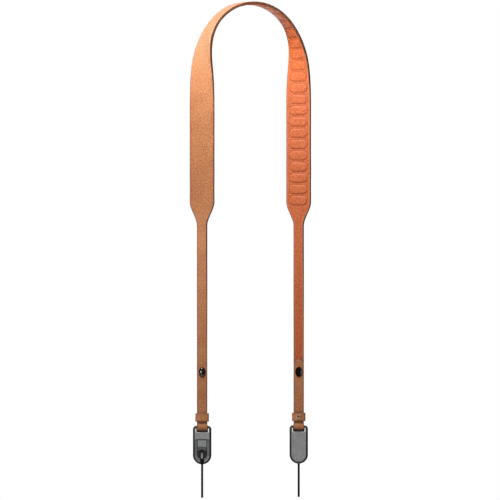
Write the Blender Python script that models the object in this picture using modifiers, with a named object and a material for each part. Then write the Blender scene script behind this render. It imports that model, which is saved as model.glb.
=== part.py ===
"""Camera neck strap: a padded leather band hung as an inverted U, with a quick-release connector on each end.

Metres, +Z up. The origin is the underside of the band at the top of the arch, where a neck or a peg
carries it. The leather is cut flat and then hung: every point of the flat pattern is (across, along,
thickness), with along = 0 at the top of the arch, and hang() puts it on the arch, down a leg, round the
connector's bar and up the tail.
"""
import math

import bmesh
import bpy
from mathutils import Matrix, Vector

# Leather band
WIDE_WIDTH = 0.033
NARROW_WIDTH = 0.0134
WIDE_HALF_LENGTH = 0.2946
TAPER_LENGTH = 0.0312
OUTER_THICKNESS = 0.0016
LINING_THICKNESS = 0.0016
EDGE_CHAMFER = 0.0004
GAP = 0.0003

# Raised lozenges on the lining
PAD_PITCH = 0.01465
PAD_WIDTH = 0.0243
PAD_LENGTH = 0.0117
PAD_HEIGHT = 0.0008
PAD_SLOPE = 0.0011

# Arch and legs
ARCH_REACH = 0.0668
ARCH_DROP = 0.091
ARCH_FULLNESS = 2.5
ARCH_TURN = math.radians(20.0)
LEG_TURN = math.radians(72.0)
SQUARE_TURN = math.radians(90.0)
TWIST_START_DROP = 0.013
TWIST_LENGTH = 0.117
SQUARE_START_DROP = 0.300
SQUARE_LENGTH = 0.140
BAR_DROP = 0.5485

# Fold round the bar, and the tail
BAR_RADIUS = 0.0017
SPREAD_LENGTH = 0.0070
TAIL_LENGTH = 0.0889
TIP_OVERRUN = 0.0004

# Stud through leg and tail
STUD_ABOVE_BAR = 0.0718
STUD_LENGTH = 0.0146
STUD_WIDTH = 0.0110
STUD_FLANGE = 0.0006
STUD_DOME_INSET = 0.0006
STUD_DOME_HEIGHT = 0.0022
STUD_CAP_HEIGHT = 0.0011
STUD_CAP_ROUND = 0.0004
STUD_POST_RADIUS = 0.0016

# Keeper loop
KEEPER_HEIGHT = 0.0108
KEEPER_WALL = 0.0018
KEEPER_ROUND = 0.0013
KEEPER_ROUND_STEPS = 3

# Connector housing, measured from the bar's axis
HOUSING_WIDTH = 0.024
HOUSING_DEPTH = 0.009
HOUSING_TOP = 0.0022
HOUSING_LENGTH = 0.0504
HOUSING_CORNER = 0.005
HOUSING_EDGE_ROUND = 0.0026
SLOT_WIDTH = 0.017
SLOT_FLOOR = 0.0070
BAR_SEAT = 0.0006

# Front of the housing: a shallow field, and the track that holds button and anchor
FIELD_TOP = 0.0154
FIELD_WIDTH = 0.0156
FIELD_DEPTH = 0.0005
FIELD_CORNER = 0.0022
TRACK_WALL = 0.0030
TRACK_CORNER = 0.0015

# Anchor disc with the ridge that its cord runs in
ANCHOR_DROP = 0.0350
ANCHOR_RADIUS = 0.0057
ANCHOR_THICKNESS = 0.0026
ANCHOR_ROUND = 0.0005
ANCHOR_CLEARANCE = 0.0004
RIDGE_WIDTH = 0.0036

# Button above the anchor
BUTTON_TOP = 0.0170
BUTTON_FOOT = 0.0310
BUTTON_THICKNESS = 0.0042
BUTTON_RECESS = 0.0002
BUTTON_CLEARANCE = 0.00035
BUTTON_CORNER = 0.0012
BUTTON_LIP_TOP = 0.0254
BUTTON_LIP_FALL = 0.0012
BUTTON_LIP_LENGTH = 0.0060

# Cord loop of each connector, seen from the side: (towards the front, below the bar)
CORD_DIAMETER = 0.0024
NOTCH_CLEARANCE = 0.0012
CORD_POINT_SPACING = 0.0034
CORD_STEPS = 20
CORD_ROUTE = (
    (0.00290, 0.04100), (0.00290, 0.04500), (0.00293, 0.04900), (0.00315, 0.05400),
    (0.00365, 0.06000), (0.00440, 0.06600), (0.00530, 0.07200), (0.00620, 0.07750),
    (0.00685, 0.08180), (0.00700, 0.08490), (0.00626, 0.08765), (0.00425, 0.08966),
    (0.00150, 0.09040), (-0.00125, 0.08966), (-0.00326, 0.08765), (-0.00400, 0.08490),
    (-0.00385, 0.08180), (-0.00320, 0.07750), (-0.00230, 0.07200), (-0.00140, 0.06600),
    (-0.00065, 0.06000), (-0.00015, 0.05400), (0.00007, 0.04900), (0.00010, 0.04500),
    (0.00010, 0.04100),
)

# Fineness of the faceted shapes
ARCH_SAMPLES = 400
FOLD_SAMPLES = 60
SPREAD_SAMPLES = 40
CELL_ROWS = 4
TAPER_ROWS = 7
LEG_ROW_SPACING = 0.020
SPREAD_ROWS = 5
FOLD_ROWS = 10
TIP_ROWS = 5
ROUND_STEPS = 16
CORNER_STEPS = 4
EDGE_STEPS = 3
SAME_PLACE = 1e-7
MERGE_DISTANCE = 0.00001
WAY_STEP = 0.0004

# Worked out from the sizes above
PLY = OUTER_THICKNESS + GAP + LINING_THICKNESS
LEG_OFFSET = 0.5 * (PLY + GAP)
LINING_SIDE = LINING_THICKNESS + 0.5 * GAP
OUTER_SIDE = OUTER_THICKNESS + 0.5 * GAP
FOLD_RADIUS = BAR_RADIUS + GAP + LINING_SIDE
APEX_HEIGHT = PAD_HEIGHT + LINING_SIDE
FACE_OFFSET = LEG_OFFSET + OUTER_SIDE
FRONT = 0.5 * HOUSING_DEPTH
TRACK_FLOOR = -FRONT + TRACK_WALL
TRACK_RADIUS = ANCHOR_RADIUS + ANCHOR_CLEARANCE
PADS_EACH_SIDE = int(WIDE_HALF_LENGTH / PAD_PITCH)
LEG_PLACE = Vector((ARCH_REACH * math.cos(ARCH_TURN), ARCH_REACH * math.sin(ARCH_TURN), 0.0))
CUT_MARGIN = 0.002

SIDES = {"right": 0.0, "left": math.pi}

LEATHER_TAN = (0.52, 0.23, 0.09)
LINING_ORANGE = (0.60, 0.20, 0.07)
GREY_PLASTIC = (0.16, 0.165, 0.17)
DARK_PLASTIC = (0.03, 0.03, 0.033)
GUNMETAL = (0.05, 0.045, 0.045)
BLACK_CORD = (0.012, 0.012, 0.013)


def smoothstep(share):
    share = min(max(share, 0.0), 1.0)
    return share * share * (3.0 - 2.0 * share)


# Centre line of the band

def centre_points():
    """Points on the right half of the band's middle surface, from the top of the arch to the tail's tip."""
    arch_way = Vector((math.cos(ARCH_TURN), math.sin(ARCH_TURN), 0.0))
    points = []
    for i in range(ARCH_SAMPLES + 1):
        rest = math.cos(0.5 * math.pi * i / ARCH_SAMPLES)
        reach = ARCH_REACH * math.sqrt(1.0 - rest ** ARCH_FULLNESS)
        points.append(arch_way * reach + Vector((0.0, 0.0, APEX_HEIGHT - ARCH_DROP * (1.0 - rest))))

    spread_top = SPREAD_LENGTH - BAR_DROP

    def leg_point(offset, height):
        return LEG_PLACE + Vector((0.0, offset - LEG_OFFSET, height))

    spread = []
    for i in range(SPREAD_SAMPLES + 1):
        share = i / SPREAD_SAMPLES
        offset = LEG_OFFSET + (FOLD_RADIUS - LEG_OFFSET) * smoothstep(share)
        spread.append((offset, spread_top - share * SPREAD_LENGTH))
    fold = []
    for i in range(1, FOLD_SAMPLES):
        angle = math.pi * i / FOLD_SAMPLES
        fold.append((FOLD_RADIUS * math.cos(angle), -BAR_DROP - FOLD_RADIUS * math.sin(angle)))
    points += [leg_point(*pair) for pair in spread + fold]
    points += [leg_point(-offset, height) for offset, height in reversed(spread)]
    points.append(leg_point(-LEG_OFFSET, TAIL_LENGTH - BAR_DROP))
    return points


class CentreLine:
    """The centre line read by its length from the top of the arch."""

    def __init__(self, points):
        self.points = points
        self.lengths = [0.0]
        for a, b in zip(points, points[1:]):
            self.lengths.append(self.lengths[-1] + (b - a).length)

    @property
    def length(self):
        return self.lengths[-1]

    def point(self, along):
        along = min(max(along, 0.0), self.length)
        low, high = 0, len(self.lengths) - 1
        while high - low > 1:
            middle = (low + high) // 2
            if self.lengths[middle] <= along:
                low = middle
            else:
                high = middle
        share = (along - self.lengths[low]) / (self.lengths[high] - self.lengths[low])
        return self.points[low].lerp(self.points[high], share)

    def way(self, along):
        return (self.point(along + WAY_STEP) - self.point(along - WAY_STEP)).normalized()


LINE = CentreLine(centre_points())

def turn_at(height):
    """How far the band's width is turned from the depth axis at a height."""
    twist = smoothstep((-height - TWIST_START_DROP) / TWIST_LENGTH)
    square = smoothstep((-height - SQUARE_START_DROP) / SQUARE_LENGTH)
    return ARCH_TURN + (LEG_TURN - ARCH_TURN) * twist + (SQUARE_TURN - LEG_TURN) * square


def hang(flat):
    """Put a point of the flat pattern (across, along, thickness towards the outer face) in its place."""
    across, along, thick = flat
    side = -1.0 if along < 0.0 else 1.0
    centre = LINE.point(abs(along))
    way = LINE.way(abs(along))
    turn = turn_at(centre.z)
    width_way = Vector((math.sin(turn), -math.cos(turn), 0.0))
    width_way = (width_way - way * width_way.dot(way)).normalized()
    outward = width_way.cross(way)
    place = centre + width_way * (side * across) + outward * thick
    return Vector((side * place.x, side * place.y, place.z))


# Flat pattern

def half_width(along):
    """Half of the band's width at a length from the top of the arch."""
    along = abs(along)
    taper = smoothstep((along - WIDE_HALF_LENGTH) / TAPER_LENGTH)
    half = 0.5 * (WIDE_WIDTH + (NARROW_WIDTH - WIDE_WIDTH) * taper)
    to_tip = LINE.length + TIP_OVERRUN - along
    tip_radius = 0.5 * NARROW_WIDTH
    if to_tip < tip_radius:
        half = math.sqrt(tip_radius ** 2 - (tip_radius - to_tip) ** 2)
    return half


def rows():
    """Lengths from the top of the arch at which the flat pattern has a row of points, tip to tip."""
    cell_count = 2 * PADS_EACH_SIDE + 1
    first = -0.5 * cell_count * PAD_PITCH
    cells = [first + i * PAD_PITCH / CELL_ROWS for i in range(cell_count * CELL_ROWS + 1)]

    fold_run = math.pi * FOLD_RADIUS
    tail_start = LINE.length - (TAIL_LENGTH - SPREAD_LENGTH)
    spread_start = tail_start - fold_run - 2.0 * spread_run()
    stops = [
        (cells[-1], TAPER_ROWS),
        (WIDE_HALF_LENGTH + TAPER_LENGTH, 0),
        (spread_start, SPREAD_ROWS),
        (spread_start + spread_run(), FOLD_ROWS),
        (tail_start - spread_run(), SPREAD_ROWS),
        (tail_start, 0),
        (LINE.length - 0.5 * NARROW_WIDTH, 0),
    ]
    lower = []
    for (start, count), (end, _) in zip(stops, stops[1:]):
        count = count or max(1, math.ceil((end - start) / LEG_ROW_SPACING))
        lower += [start + (end - start) * i / count for i in range(1, count + 1)]
    tip_start = stops[-1][0]
    for i in range(1, TIP_ROWS + 1):
        lower.append(tip_start + (LINE.length - tip_start) * math.sin(0.5 * math.pi * i / TIP_ROWS))
    return [-along for along in reversed(lower)] + cells + lower


def spread_run():
    """Length of the centre line where leg and tail spread to go round the bar."""
    run = 0.0
    last = Vector((LEG_OFFSET, 0.0))
    for i in range(1, SPREAD_SAMPLES + 1):
        share = i / SPREAD_SAMPLES
        point = Vector((LEG_OFFSET + (FOLD_RADIUS - LEG_OFFSET) * smoothstep(share), share * SPREAD_LENGTH))
        run += (point - last).length
        last = point
    return run


def flat_layer(low, high):
    """A bmesh of the whole band cut flat, from thickness low to high."""
    stations = rows()
    count = len(stations) - 1
    bm = bmesh.new()
    bmesh.ops.create_grid(bm, x_segments=1, y_segments=count, size=1.0)
    for vert in bm.verts:
        along = stations[round(0.5 * (vert.co.y + 1.0) * count)]
        vert.co = (math.copysign(half_width(along), vert.co.x), along, low)
    grown = bmesh.ops.extrude_face_region(bm, geom=bm.faces[:])
    top = [item for item in grown["geom"] if isinstance(item, bmesh.types.BMVert)]
    bmesh.ops.translate(bm, verts=top, vec=(0.0, 0.0, high - low))
    bmesh.ops.recalc_face_normals(bm, faces=bm.faces[:])
    return bm


def faces_at(bm, thick):
    return [face for face in bm.faces if all(abs(vert.co.z - thick) < SAME_PLACE for vert in face.verts)]


def split_corner_to_corner(bm, thick):
    """Cut each four-sided face at a thickness from its first corner to its last, alike on both layers."""
    for face in faces_at(bm, thick):
        if len(face.verts) == 4:
            order = sorted(face.verts, key=lambda vert: (vert.co.y, vert.co.x))
            bmesh.utils.face_split(face, order[0], order[3])


def pad_half_width(offset):
    """Half of a lozenge's width at an offset from its middle: straight sides between round ends."""
    end = 0.5 * PAD_LENGTH
    share = min(abs(offset) / end, 1.0)
    return 0.5 * PAD_WIDTH - end * (1.0 - math.sqrt(1.0 - share * share))


def raise_pads(bm, thick):
    """Raise a lozenge in each cell of the lining's inner face."""
    inner = faces_at(bm, thick)
    for number in range(-PADS_EACH_SIDE, PADS_EACH_SIDE + 1):
        middle = number * PAD_PITCH
        cell = [face for face in inner if face.is_valid
                and abs(face.calc_center_median().y - middle) < 0.5 * PAD_PITCH]
        pad = bmesh.ops.dissolve_faces(bm, faces=cell)["region"]
        bmesh.ops.inset_individual(bm, faces=pad, thickness=0.5 * (PAD_PITCH - PAD_LENGTH),
                                   use_even_offset=True)
        for vert in pad[0].verts:
            vert.co.x = math.copysign(pad_half_width(vert.co.y - middle), vert.co.x)
        bmesh.ops.inset_individual(bm, faces=pad, thickness=PAD_SLOPE, depth=PAD_HEIGHT,
                                   use_even_offset=True)


def chamfer_outline(bm, thick):
    """Chamfer the cut edge all round a face of the flat layer."""
    faces = set(faces_at(bm, thick))
    rim = [edge for edge in bm.edges if sum(face in faces for face in edge.link_faces) == 1]
    bmesh.ops.bevel(bm, geom=rim, offset=EDGE_CHAMFER, offset_type="OFFSET", segments=1, profile=0.5,
                    affect="EDGES", material=-1)


# Objects

def make_material(name, colour, roughness, metallic=0.0):
    material = bpy.data.materials.new(name)
    material.use_nodes = True
    shader = material.node_tree.nodes["Principled BSDF"]
    shader.inputs["Base Color"].default_value = (*colour, 1.0)
    shader.inputs["Roughness"].default_value = roughness
    shader.inputs["Metallic"].default_value = metallic
    material.diffuse_color = (*colour, 1.0)
    return material


def add_object(name, bm, collection, parent=None, colour=None, roughness=0.6, metallic=0.0, smooth=40.0):
    mesh = bpy.data.meshes.new(name)
    bm.to_mesh(mesh)
    bm.free()
    mesh.shade_smooth()
    mesh.set_sharp_from_angle(angle=math.radians(smooth))
    obj = bpy.data.objects.new(name, mesh)
    obj.parent = parent
    collection.objects.link(obj)
    if colour:
        mesh.materials.append(make_material(name, colour, roughness, metallic))
    return obj


def add_cutter(name, bm, collection, parent=None):
    cutter = add_object(name, bm, collection, parent)
    cutter.hide_render = True
    cutter.display_type = "WIRE"
    return cutter


def add_boolean(obj, cutter, operation="DIFFERENCE"):
    modifier = obj.modifiers.new(cutter.name, "BOOLEAN")
    modifier.operation = operation
    modifier.object = cutter
    modifier.solver = "EXACT"


def box_bmesh(low, high):
    """A box between two corners."""
    bm = bmesh.new()
    bmesh.ops.create_cube(bm, size=1.0)
    size = Vector(high) - Vector(low)
    middle = 0.5 * (Vector(high) + Vector(low))
    bmesh.ops.scale(bm, vec=size, verts=bm.verts)
    bmesh.ops.translate(bm, vec=middle, verts=bm.verts)
    return bm


def cylinder_bmesh(radius, length, axis):
    """A cylinder centred on the origin, along X or Y."""
    bm = bmesh.new()
    bmesh.ops.create_cone(bm, cap_ends=True, segments=ROUND_STEPS, radius1=radius, radius2=radius, depth=length)
    turn = Matrix.Rotation(0.5 * math.pi, 4, "Y" if axis == "X" else "X")
    bmesh.ops.transform(bm, matrix=turn, verts=bm.verts)
    return bm


def arc(centre, radius, start, end, steps):
    """Points of an arc, both ends among them; angles in degrees from +X towards +Z."""
    angles = [math.radians(start + (end - start) * i / steps) for i in range(steps + 1)]
    return [(centre[0] + radius * math.cos(a), centre[1] + radius * math.sin(a)) for a in angles]


def plate_bmesh(outline, back, front):
    """A flat plate with an outline in X and Z, between two depths."""
    bm = bmesh.new()
    verts = [bm.verts.new((x, back, z)) for x, z in outline]
    bm.faces.new(verts)
    grown = bmesh.ops.extrude_face_region(bm, geom=bm.faces[:])
    moved = [item for item in grown["geom"] if isinstance(item, bmesh.types.BMVert)]
    bmesh.ops.translate(bm, verts=moved, vec=(0.0, front - back, 0.0))
    bmesh.ops.recalc_face_normals(bm, faces=bm.faces[:])
    return bm


def slot_outline(half, top, middle, radius, corner):
    """An upright opening: rounded top corners, straight sides and a round bottom about a middle height."""
    points = arc((half - corner, top - corner), corner, 0.0, 90.0, CORNER_STEPS)
    points += arc((corner - half, top - corner), corner, 90.0, 180.0, CORNER_STEPS)
    points += arc((0.0, middle), radius, 180.0, 360.0, ROUND_STEPS)
    return points


# Pieces

def build_band(collection, cutters, pivots):
    """The outer leather and its padded lining, with a hole for each stud post."""
    holes = []
    for side, pivot in pivots.items():
        bm = cylinder_bmesh(STUD_POST_RADIUS + GAP, 2.0 * FACE_OFFSET + 2.0 * CUT_MARGIN, "Y")
        bmesh.ops.translate(bm, vec=(0.0, 0.0, STUD_ABOVE_BAR), verts=bm.verts)
        holes.append(add_cutter(f"{side}_post_hole", bm, cutters, pivot))

    outer = flat_layer(0.5 * GAP, OUTER_SIDE)
    chamfer_outline(outer, OUTER_SIDE)
    split_corner_to_corner(outer, 0.5 * GAP)
    lining = flat_layer(-LINING_SIDE, -0.5 * GAP)
    raise_pads(lining, -LINING_SIDE)
    split_corner_to_corner(lining, -0.5 * GAP)
    for name, bm, colour in (("strap_outer", outer, LEATHER_TAN), ("strap_lining", lining, LINING_ORANGE)):
        for vert in bm.verts:
            vert.co = hang(vert.co)
        band = add_object(name, bm, collection, colour=colour, roughness=0.55, smooth=30.0)
        for hole in holes:
            add_boolean(band, hole)


def add_turned(name, profile, collection, parent, place, front, colour):
    """A turned oval piece of the stud: profile (radius, height) down its outer side, stood on the band."""
    bm = bmesh.new()
    verts = [bm.verts.new((radius, 0.0, height)) for radius, height in profile]
    for a, b in zip(verts, verts[1:]):
        bm.edges.new((a, b))
    obj = add_object(name, bm, collection, parent, colour, roughness=0.3, metallic=0.8)
    obj.location = place
    obj.rotation_euler = (-0.5 * math.pi * front, 0.0, 0.0)
    obj.scale = (STUD_WIDTH / STUD_LENGTH, 1.0, 1.0)
    screw = obj.modifiers.new("turned", "SCREW")
    screw.steps = screw.render_steps = ROUND_STEPS
    screw.use_merge_vertices = True
    screw.merge_threshold = MERGE_DISTANCE


def build_stud(side, pivot, collection):
    """A domed head with its post on the outer face, and a flat cap on the tail."""
    radius = 0.5 * STUD_LENGTH
    dome = radius - STUD_DOME_INSET
    steps = ROUND_STEPS // 4
    head = []
    for i in range(steps + 1):
        angle = 0.5 * math.pi * i / steps
        head.append((dome * math.sin(angle), STUD_FLANGE + STUD_DOME_HEIGHT * math.cos(angle)))
    post_length = 2.0 * FACE_OFFSET + GAP
    head += [(radius, STUD_FLANGE), (radius, 0.0), (STUD_POST_RADIUS, 0.0),
             (STUD_POST_RADIUS, -post_length), (0.0, -post_length)]
    cap = [(0.0, STUD_CAP_HEIGHT), (radius - STUD_CAP_ROUND, STUD_CAP_HEIGHT),
           (radius, STUD_CAP_HEIGHT - STUD_CAP_ROUND), (radius, 0.0), (0.0, 0.0)]
    seat = FACE_OFFSET + GAP
    add_turned(f"{side}_stud_head", head, collection, pivot, (0.0, seat, STUD_ABOVE_BAR), 1.0, GUNMETAL)
    add_turned(f"{side}_stud_cap", cap, collection, pivot, (0.0, -seat, STUD_ABOVE_BAR), -1.0, GUNMETAL)


def build_keeper(side, pivot, collection, cutters):
    """A leather loop round leg and tail, just above where they spread."""
    low = SPREAD_LENGTH + GAP
    half_x = 0.5 * NARROW_WIDTH + GAP
    half_y = FACE_OFFSET + GAP
    bm = box_bmesh((-half_x - KEEPER_WALL, -half_y - KEEPER_WALL, low),
                   (half_x + KEEPER_WALL, half_y + KEEPER_WALL, low + KEEPER_HEIGHT))
    upright = [edge for edge in bm.edges if abs(edge.verts[0].co.z - edge.verts[1].co.z) > 0.5 * KEEPER_HEIGHT]
    bmesh.ops.bevel(bm, geom=upright, offset=KEEPER_ROUND, offset_type="OFFSET",
                    segments=KEEPER_ROUND_STEPS, profile=0.5, affect="EDGES", material=-1)
    keeper = add_object(f"{side}_keeper", bm, collection, pivot, LEATHER_TAN, roughness=0.55)
    hole = box_bmesh((-half_x, -half_y, low - CUT_MARGIN), (half_x, half_y, low + KEEPER_HEIGHT + CUT_MARGIN))
    add_boolean(keeper, add_cutter(f"{side}_keeper_hole", hole, cutters, pivot))


def build_housing(side, pivot, collection, cutters):
    """The connector's body: bar and strap slot on top, round bottom, field and track on the front."""
    half = 0.5 * HOUSING_WIDTH
    outline = slot_outline(half, HOUSING_TOP, HOUSING_TOP - HOUSING_LENGTH + half, half, HOUSING_CORNER)
    housing = add_object(f"{side}_housing", plate_bmesh(outline, -FRONT, FRONT), collection, pivot,
                         GREY_PLASTIC, roughness=0.5)
    bevel = housing.modifiers.new("rounded edge", "BEVEL")
    bevel.width = HOUSING_EDGE_ROUND
    bevel.segments = EDGE_STEPS
    bevel.limit_method = "ANGLE"
    bevel.angle_limit = math.radians(60.0)

    slot = box_bmesh((-0.5 * SLOT_WIDTH, -FRONT - CUT_MARGIN, -SLOT_FLOOR),
                     (0.5 * SLOT_WIDTH, FRONT + CUT_MARGIN, HOUSING_TOP + CUT_MARGIN))
    bar = cylinder_bmesh(BAR_RADIUS, SLOT_WIDTH + 2.0 * BAR_SEAT, "X")
    rim = 0.5 * FIELD_WIDTH - TRACK_RADIUS
    field = plate_bmesh(slot_outline(0.5 * FIELD_WIDTH, -FIELD_TOP, -ANCHOR_DROP, TRACK_RADIUS + rim,
                                     FIELD_CORNER), FRONT - FIELD_DEPTH, FRONT + CUT_MARGIN)
    track = plate_bmesh(slot_outline(TRACK_RADIUS, GAP - BUTTON_TOP, -ANCHOR_DROP, TRACK_RADIUS,
                                     TRACK_CORNER), TRACK_FLOOR, FRONT + CUT_MARGIN)
    notch_half = 0.5 * CORD_DIAMETER + NOTCH_CLEARANCE
    notch = box_bmesh((-notch_half, TRACK_FLOOR, HOUSING_TOP - HOUSING_LENGTH - CUT_MARGIN),
                      (notch_half, FRONT + CUT_MARGIN, -ANCHOR_DROP))
    add_boolean(housing, add_cutter(f"{side}_slot_cut", slot, cutters, pivot))
    add_boolean(housing, add_cutter(f"{side}_field_cut", field, cutters, pivot))
    add_boolean(housing, add_cutter(f"{side}_track_cut", track, cutters, pivot))
    add_boolean(housing, add_cutter(f"{side}_notch_cut", notch, cutters, pivot))
    add_boolean(housing, add_cutter(f"{side}_bar", bar, cutters, pivot), "UNION")


def build_button(side, pivot, collection, cutters):
    """The release button: a thumb face over a sloping lip whose foot curves round the anchor."""
    half = TRACK_RADIUS - GAP
    curve = ANCHOR_RADIUS + BUTTON_CLEARANCE
    foot_angle = math.degrees(math.asin((ANCHOR_DROP - BUTTON_FOOT) / curve))
    outline = arc((half - BUTTON_CORNER, -BUTTON_TOP - BUTTON_CORNER), BUTTON_CORNER, 0.0, 90.0, CORNER_STEPS)
    outline += arc((BUTTON_CORNER - half, -BUTTON_TOP - BUTTON_CORNER), BUTTON_CORNER, 90.0, 180.0, CORNER_STEPS)
    outline += [(-half, -BUTTON_FOOT)]
    outline += arc((0.0, -ANCHOR_DROP), curve, 180.0 - foot_angle, foot_angle, 2 * CORNER_STEPS)
    outline += [(half, -BUTTON_FOOT)]
    face = FRONT - BUTTON_RECESS
    button = add_object(f"{side}_button", plate_bmesh(outline, face - BUTTON_THICKNESS, face), collection,
                        pivot, GREY_PLASTIC, roughness=0.5)
    lip = box_bmesh((-HOUSING_WIDTH, 0.0, -2.0 * BUTTON_LIP_LENGTH), (HOUSING_WIDTH, HOUSING_DEPTH, 0.0))
    slope = math.atan2(BUTTON_LIP_FALL, BUTTON_LIP_LENGTH)
    bmesh.ops.transform(lip, matrix=Matrix.Rotation(-slope, 4, "X"), verts=lip.verts)
    bmesh.ops.translate(lip, vec=(0.0, face, -BUTTON_LIP_TOP), verts=lip.verts)
    add_boolean(button, add_cutter(f"{side}_lip_cut", lip, cutters, pivot))


def build_anchor(side, pivot, collection, cutters):
    """The disc that sits in the track, with a ridge from its middle to where the cord leaves it."""
    back = TRACK_FLOOR + GAP
    disc = cylinder_bmesh(ANCHOR_RADIUS, ANCHOR_THICKNESS, "Y")
    bmesh.ops.translate(disc, vec=(0.0, back + 0.5 * ANCHOR_THICKNESS, -ANCHOR_DROP), verts=disc.verts)
    rims = [edge for edge in disc.edges if abs(edge.verts[0].co.y - edge.verts[1].co.y) < 0.5 * ANCHOR_ROUND]
    bmesh.ops.bevel(disc, geom=rims, offset=ANCHOR_ROUND, offset_type="OFFSET", segments=1, profile=0.5,
                    affect="EDGES", material=-1)
    anchor = add_object(f"{side}_anchor", disc, collection, pivot, DARK_PLASTIC, roughness=0.4)
    half = 0.5 * RIDGE_WIDTH
    outline = arc((0.0, -ANCHOR_DROP), half, 0.0, 180.0, ROUND_STEPS // 2)
    outline += [(-half, -ANCHOR_DROP - ANCHOR_RADIUS), (half, -ANCHOR_DROP - ANCHOR_RADIUS)]
    ridge = plate_bmesh(outline, back + ANCHOR_ROUND, FRONT - ANCHOR_CLEARANCE)
    add_boolean(anchor, add_cutter(f"{side}_ridge", ridge, cutters, pivot), "UNION")


def smooth_route(route, spacing):
    """Points at an even spacing on a smooth curve through a route's own points."""
    points = [Vector((0.0, front, -drop)) for front, drop in route]
    ends = [2.0 * points[0] - points[1]] + points + [2.0 * points[-1] - points[-2]]
    dense = []
    for before, start, end, after in zip(ends, ends[1:], ends[2:], ends[3:]):
        for i in range(CORD_STEPS):
            t = i / CORD_STEPS
            dense.append(0.5 * (2.0 * start + (end - before) * t
                                + (2.0 * before - 5.0 * start + 4.0 * end - after) * t ** 2
                                + (3.0 * start - before - 3.0 * end + after) * t ** 3))
    dense.append(points[-1])
    line = CentreLine(dense)
    count = max(2, round(line.length / spacing))
    return [line.point(line.length * i / count) for i in range(count + 1)]


def build_cord(side, pivot, collection):
    """The limp cord loop: out of the anchor's ridge, down and round, and back into the disc."""
    curve = bpy.data.curves.new(f"{side}_cord", "CURVE")
    curve.dimensions = "3D"
    curve.bevel_depth = 0.5 * CORD_DIAMETER
    curve.bevel_resolution = 2
    curve.use_fill_caps = True
    points = smooth_route(CORD_ROUTE, CORD_POINT_SPACING)
    spline = curve.splines.new("POLY")
    spline.points.add(len(points) - 1)
    for target, point in zip(spline.points, points):
        target.co = (*point, 1.0)
    curve.materials.append(make_material(f"{side}_cord", BLACK_CORD, 0.7))
    cord = bpy.data.objects.new(f"{side}_cord", curve)
    cord.parent = pivot
    collection.objects.link(cord)


def add_pivot(side, angle, collection):
    """An empty on the axis of one connector's bar, with its Y towards the band's outer face."""
    pivot = bpy.data.objects.new(f"{side}_bar_axis", None)
    place = LEG_PLACE + Vector((0.0, -LEG_OFFSET, -BAR_DROP))
    pivot.location = Matrix.Rotation(angle, 3, "Z") @ place
    pivot.rotation_euler = (0.0, 0.0, angle)
    pivot.empty_display_size = 0.01
    collection.objects.link(pivot)
    return pivot


def main():
    for obj in list(bpy.data.objects):
        bpy.data.objects.remove(obj, do_unlink=True)
    parts = bpy.data.collections.new("camera_neck_strap")
    cutters = bpy.data.collections.new("cutters")
    for collection in (parts, cutters):
        bpy.context.scene.collection.children.link(collection)

    pivots = {side: add_pivot(side, angle, parts) for side, angle in SIDES.items()}
    build_band(parts, cutters, pivots)
    for side, pivot in pivots.items():
        build_stud(side, pivot, parts)
        build_keeper(side, pivot, parts, cutters)
        build_housing(side, pivot, parts, cutters)
        build_button(side, pivot, parts, cutters)
        build_anchor(side, pivot, parts, cutters)
        build_cord(side, pivot, parts)
    bpy.context.view_layer.update()


main()
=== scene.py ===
"""Camera neck strap: the finished looks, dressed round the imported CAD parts.

Metres, +Z up, in the CAD's frame. The leather is laid out flat and then hung, as the CAD's is: a point of
the flat pattern is (across, along, thick), with along = 0 at the top of the arch. A connector's pieces are
made about the axis of its bar, +Y towards the front with the button, and then put on their own side.
"""

import logging
import math
from bisect import bisect_right
from collections.abc import Callable, Iterable, Iterator, Sequence
from dataclasses import dataclass, field
from enum import Enum

import bmesh
import bpy
from mathutils import Matrix, Vector, noise


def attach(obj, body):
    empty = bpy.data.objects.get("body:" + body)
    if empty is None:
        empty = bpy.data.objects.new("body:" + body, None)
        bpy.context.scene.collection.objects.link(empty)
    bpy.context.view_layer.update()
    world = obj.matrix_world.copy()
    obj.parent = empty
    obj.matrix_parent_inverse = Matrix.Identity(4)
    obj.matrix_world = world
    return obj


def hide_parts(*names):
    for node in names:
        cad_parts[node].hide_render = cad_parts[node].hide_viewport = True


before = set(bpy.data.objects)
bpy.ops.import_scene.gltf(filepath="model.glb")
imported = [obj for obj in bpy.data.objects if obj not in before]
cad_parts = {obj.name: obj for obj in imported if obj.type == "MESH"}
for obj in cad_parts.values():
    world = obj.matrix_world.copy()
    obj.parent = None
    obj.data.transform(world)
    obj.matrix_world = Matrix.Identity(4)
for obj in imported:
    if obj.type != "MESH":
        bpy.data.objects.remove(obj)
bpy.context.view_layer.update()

LOG = logging.getLogger("strap")
MERGE_DISTANCE = 0.000002
STRAND_RELIEF = 0.09
TURN = 2.0 * math.pi
QUARTER = 0.25 * TURN

Mesh = bmesh.types.BMesh
Material = bpy.types.Material
Outline = list[tuple[float, float]]
Layers = list[tuple[Outline, float]]
Colour = tuple[float, float, float]


def smoothstep(share: float) -> float:
    """A soft step from 0 to 1, level at both ends."""
    share = min(max(share, 0.0), 1.0)
    return share * share * (3.0 - 2.0 * share)


def ramp(value: float, start: float, length: float) -> float:
    """A soft step from 0 at a start to 1 a length further on."""
    return smoothstep((value - start) / length)


def bell(distance: float, width: float) -> float:
    """1 where there is no distance, falling off softly over a width."""
    return math.exp(-(distance / width) ** 2)


def linear(value: float) -> float:
    """A screen's channel, 0 to 255, in linear light."""
    share = value / 255.0
    return share / 12.92 if share <= 0.04045 else ((share + 0.055) / 1.055) ** 2.4


def screen(red: float, green: float, blue: float) -> Colour:
    """A colour as a screen shows it, 0 to 255, turned into linear light."""
    return linear(red), linear(green), linear(blue)


# Shader maths

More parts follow.
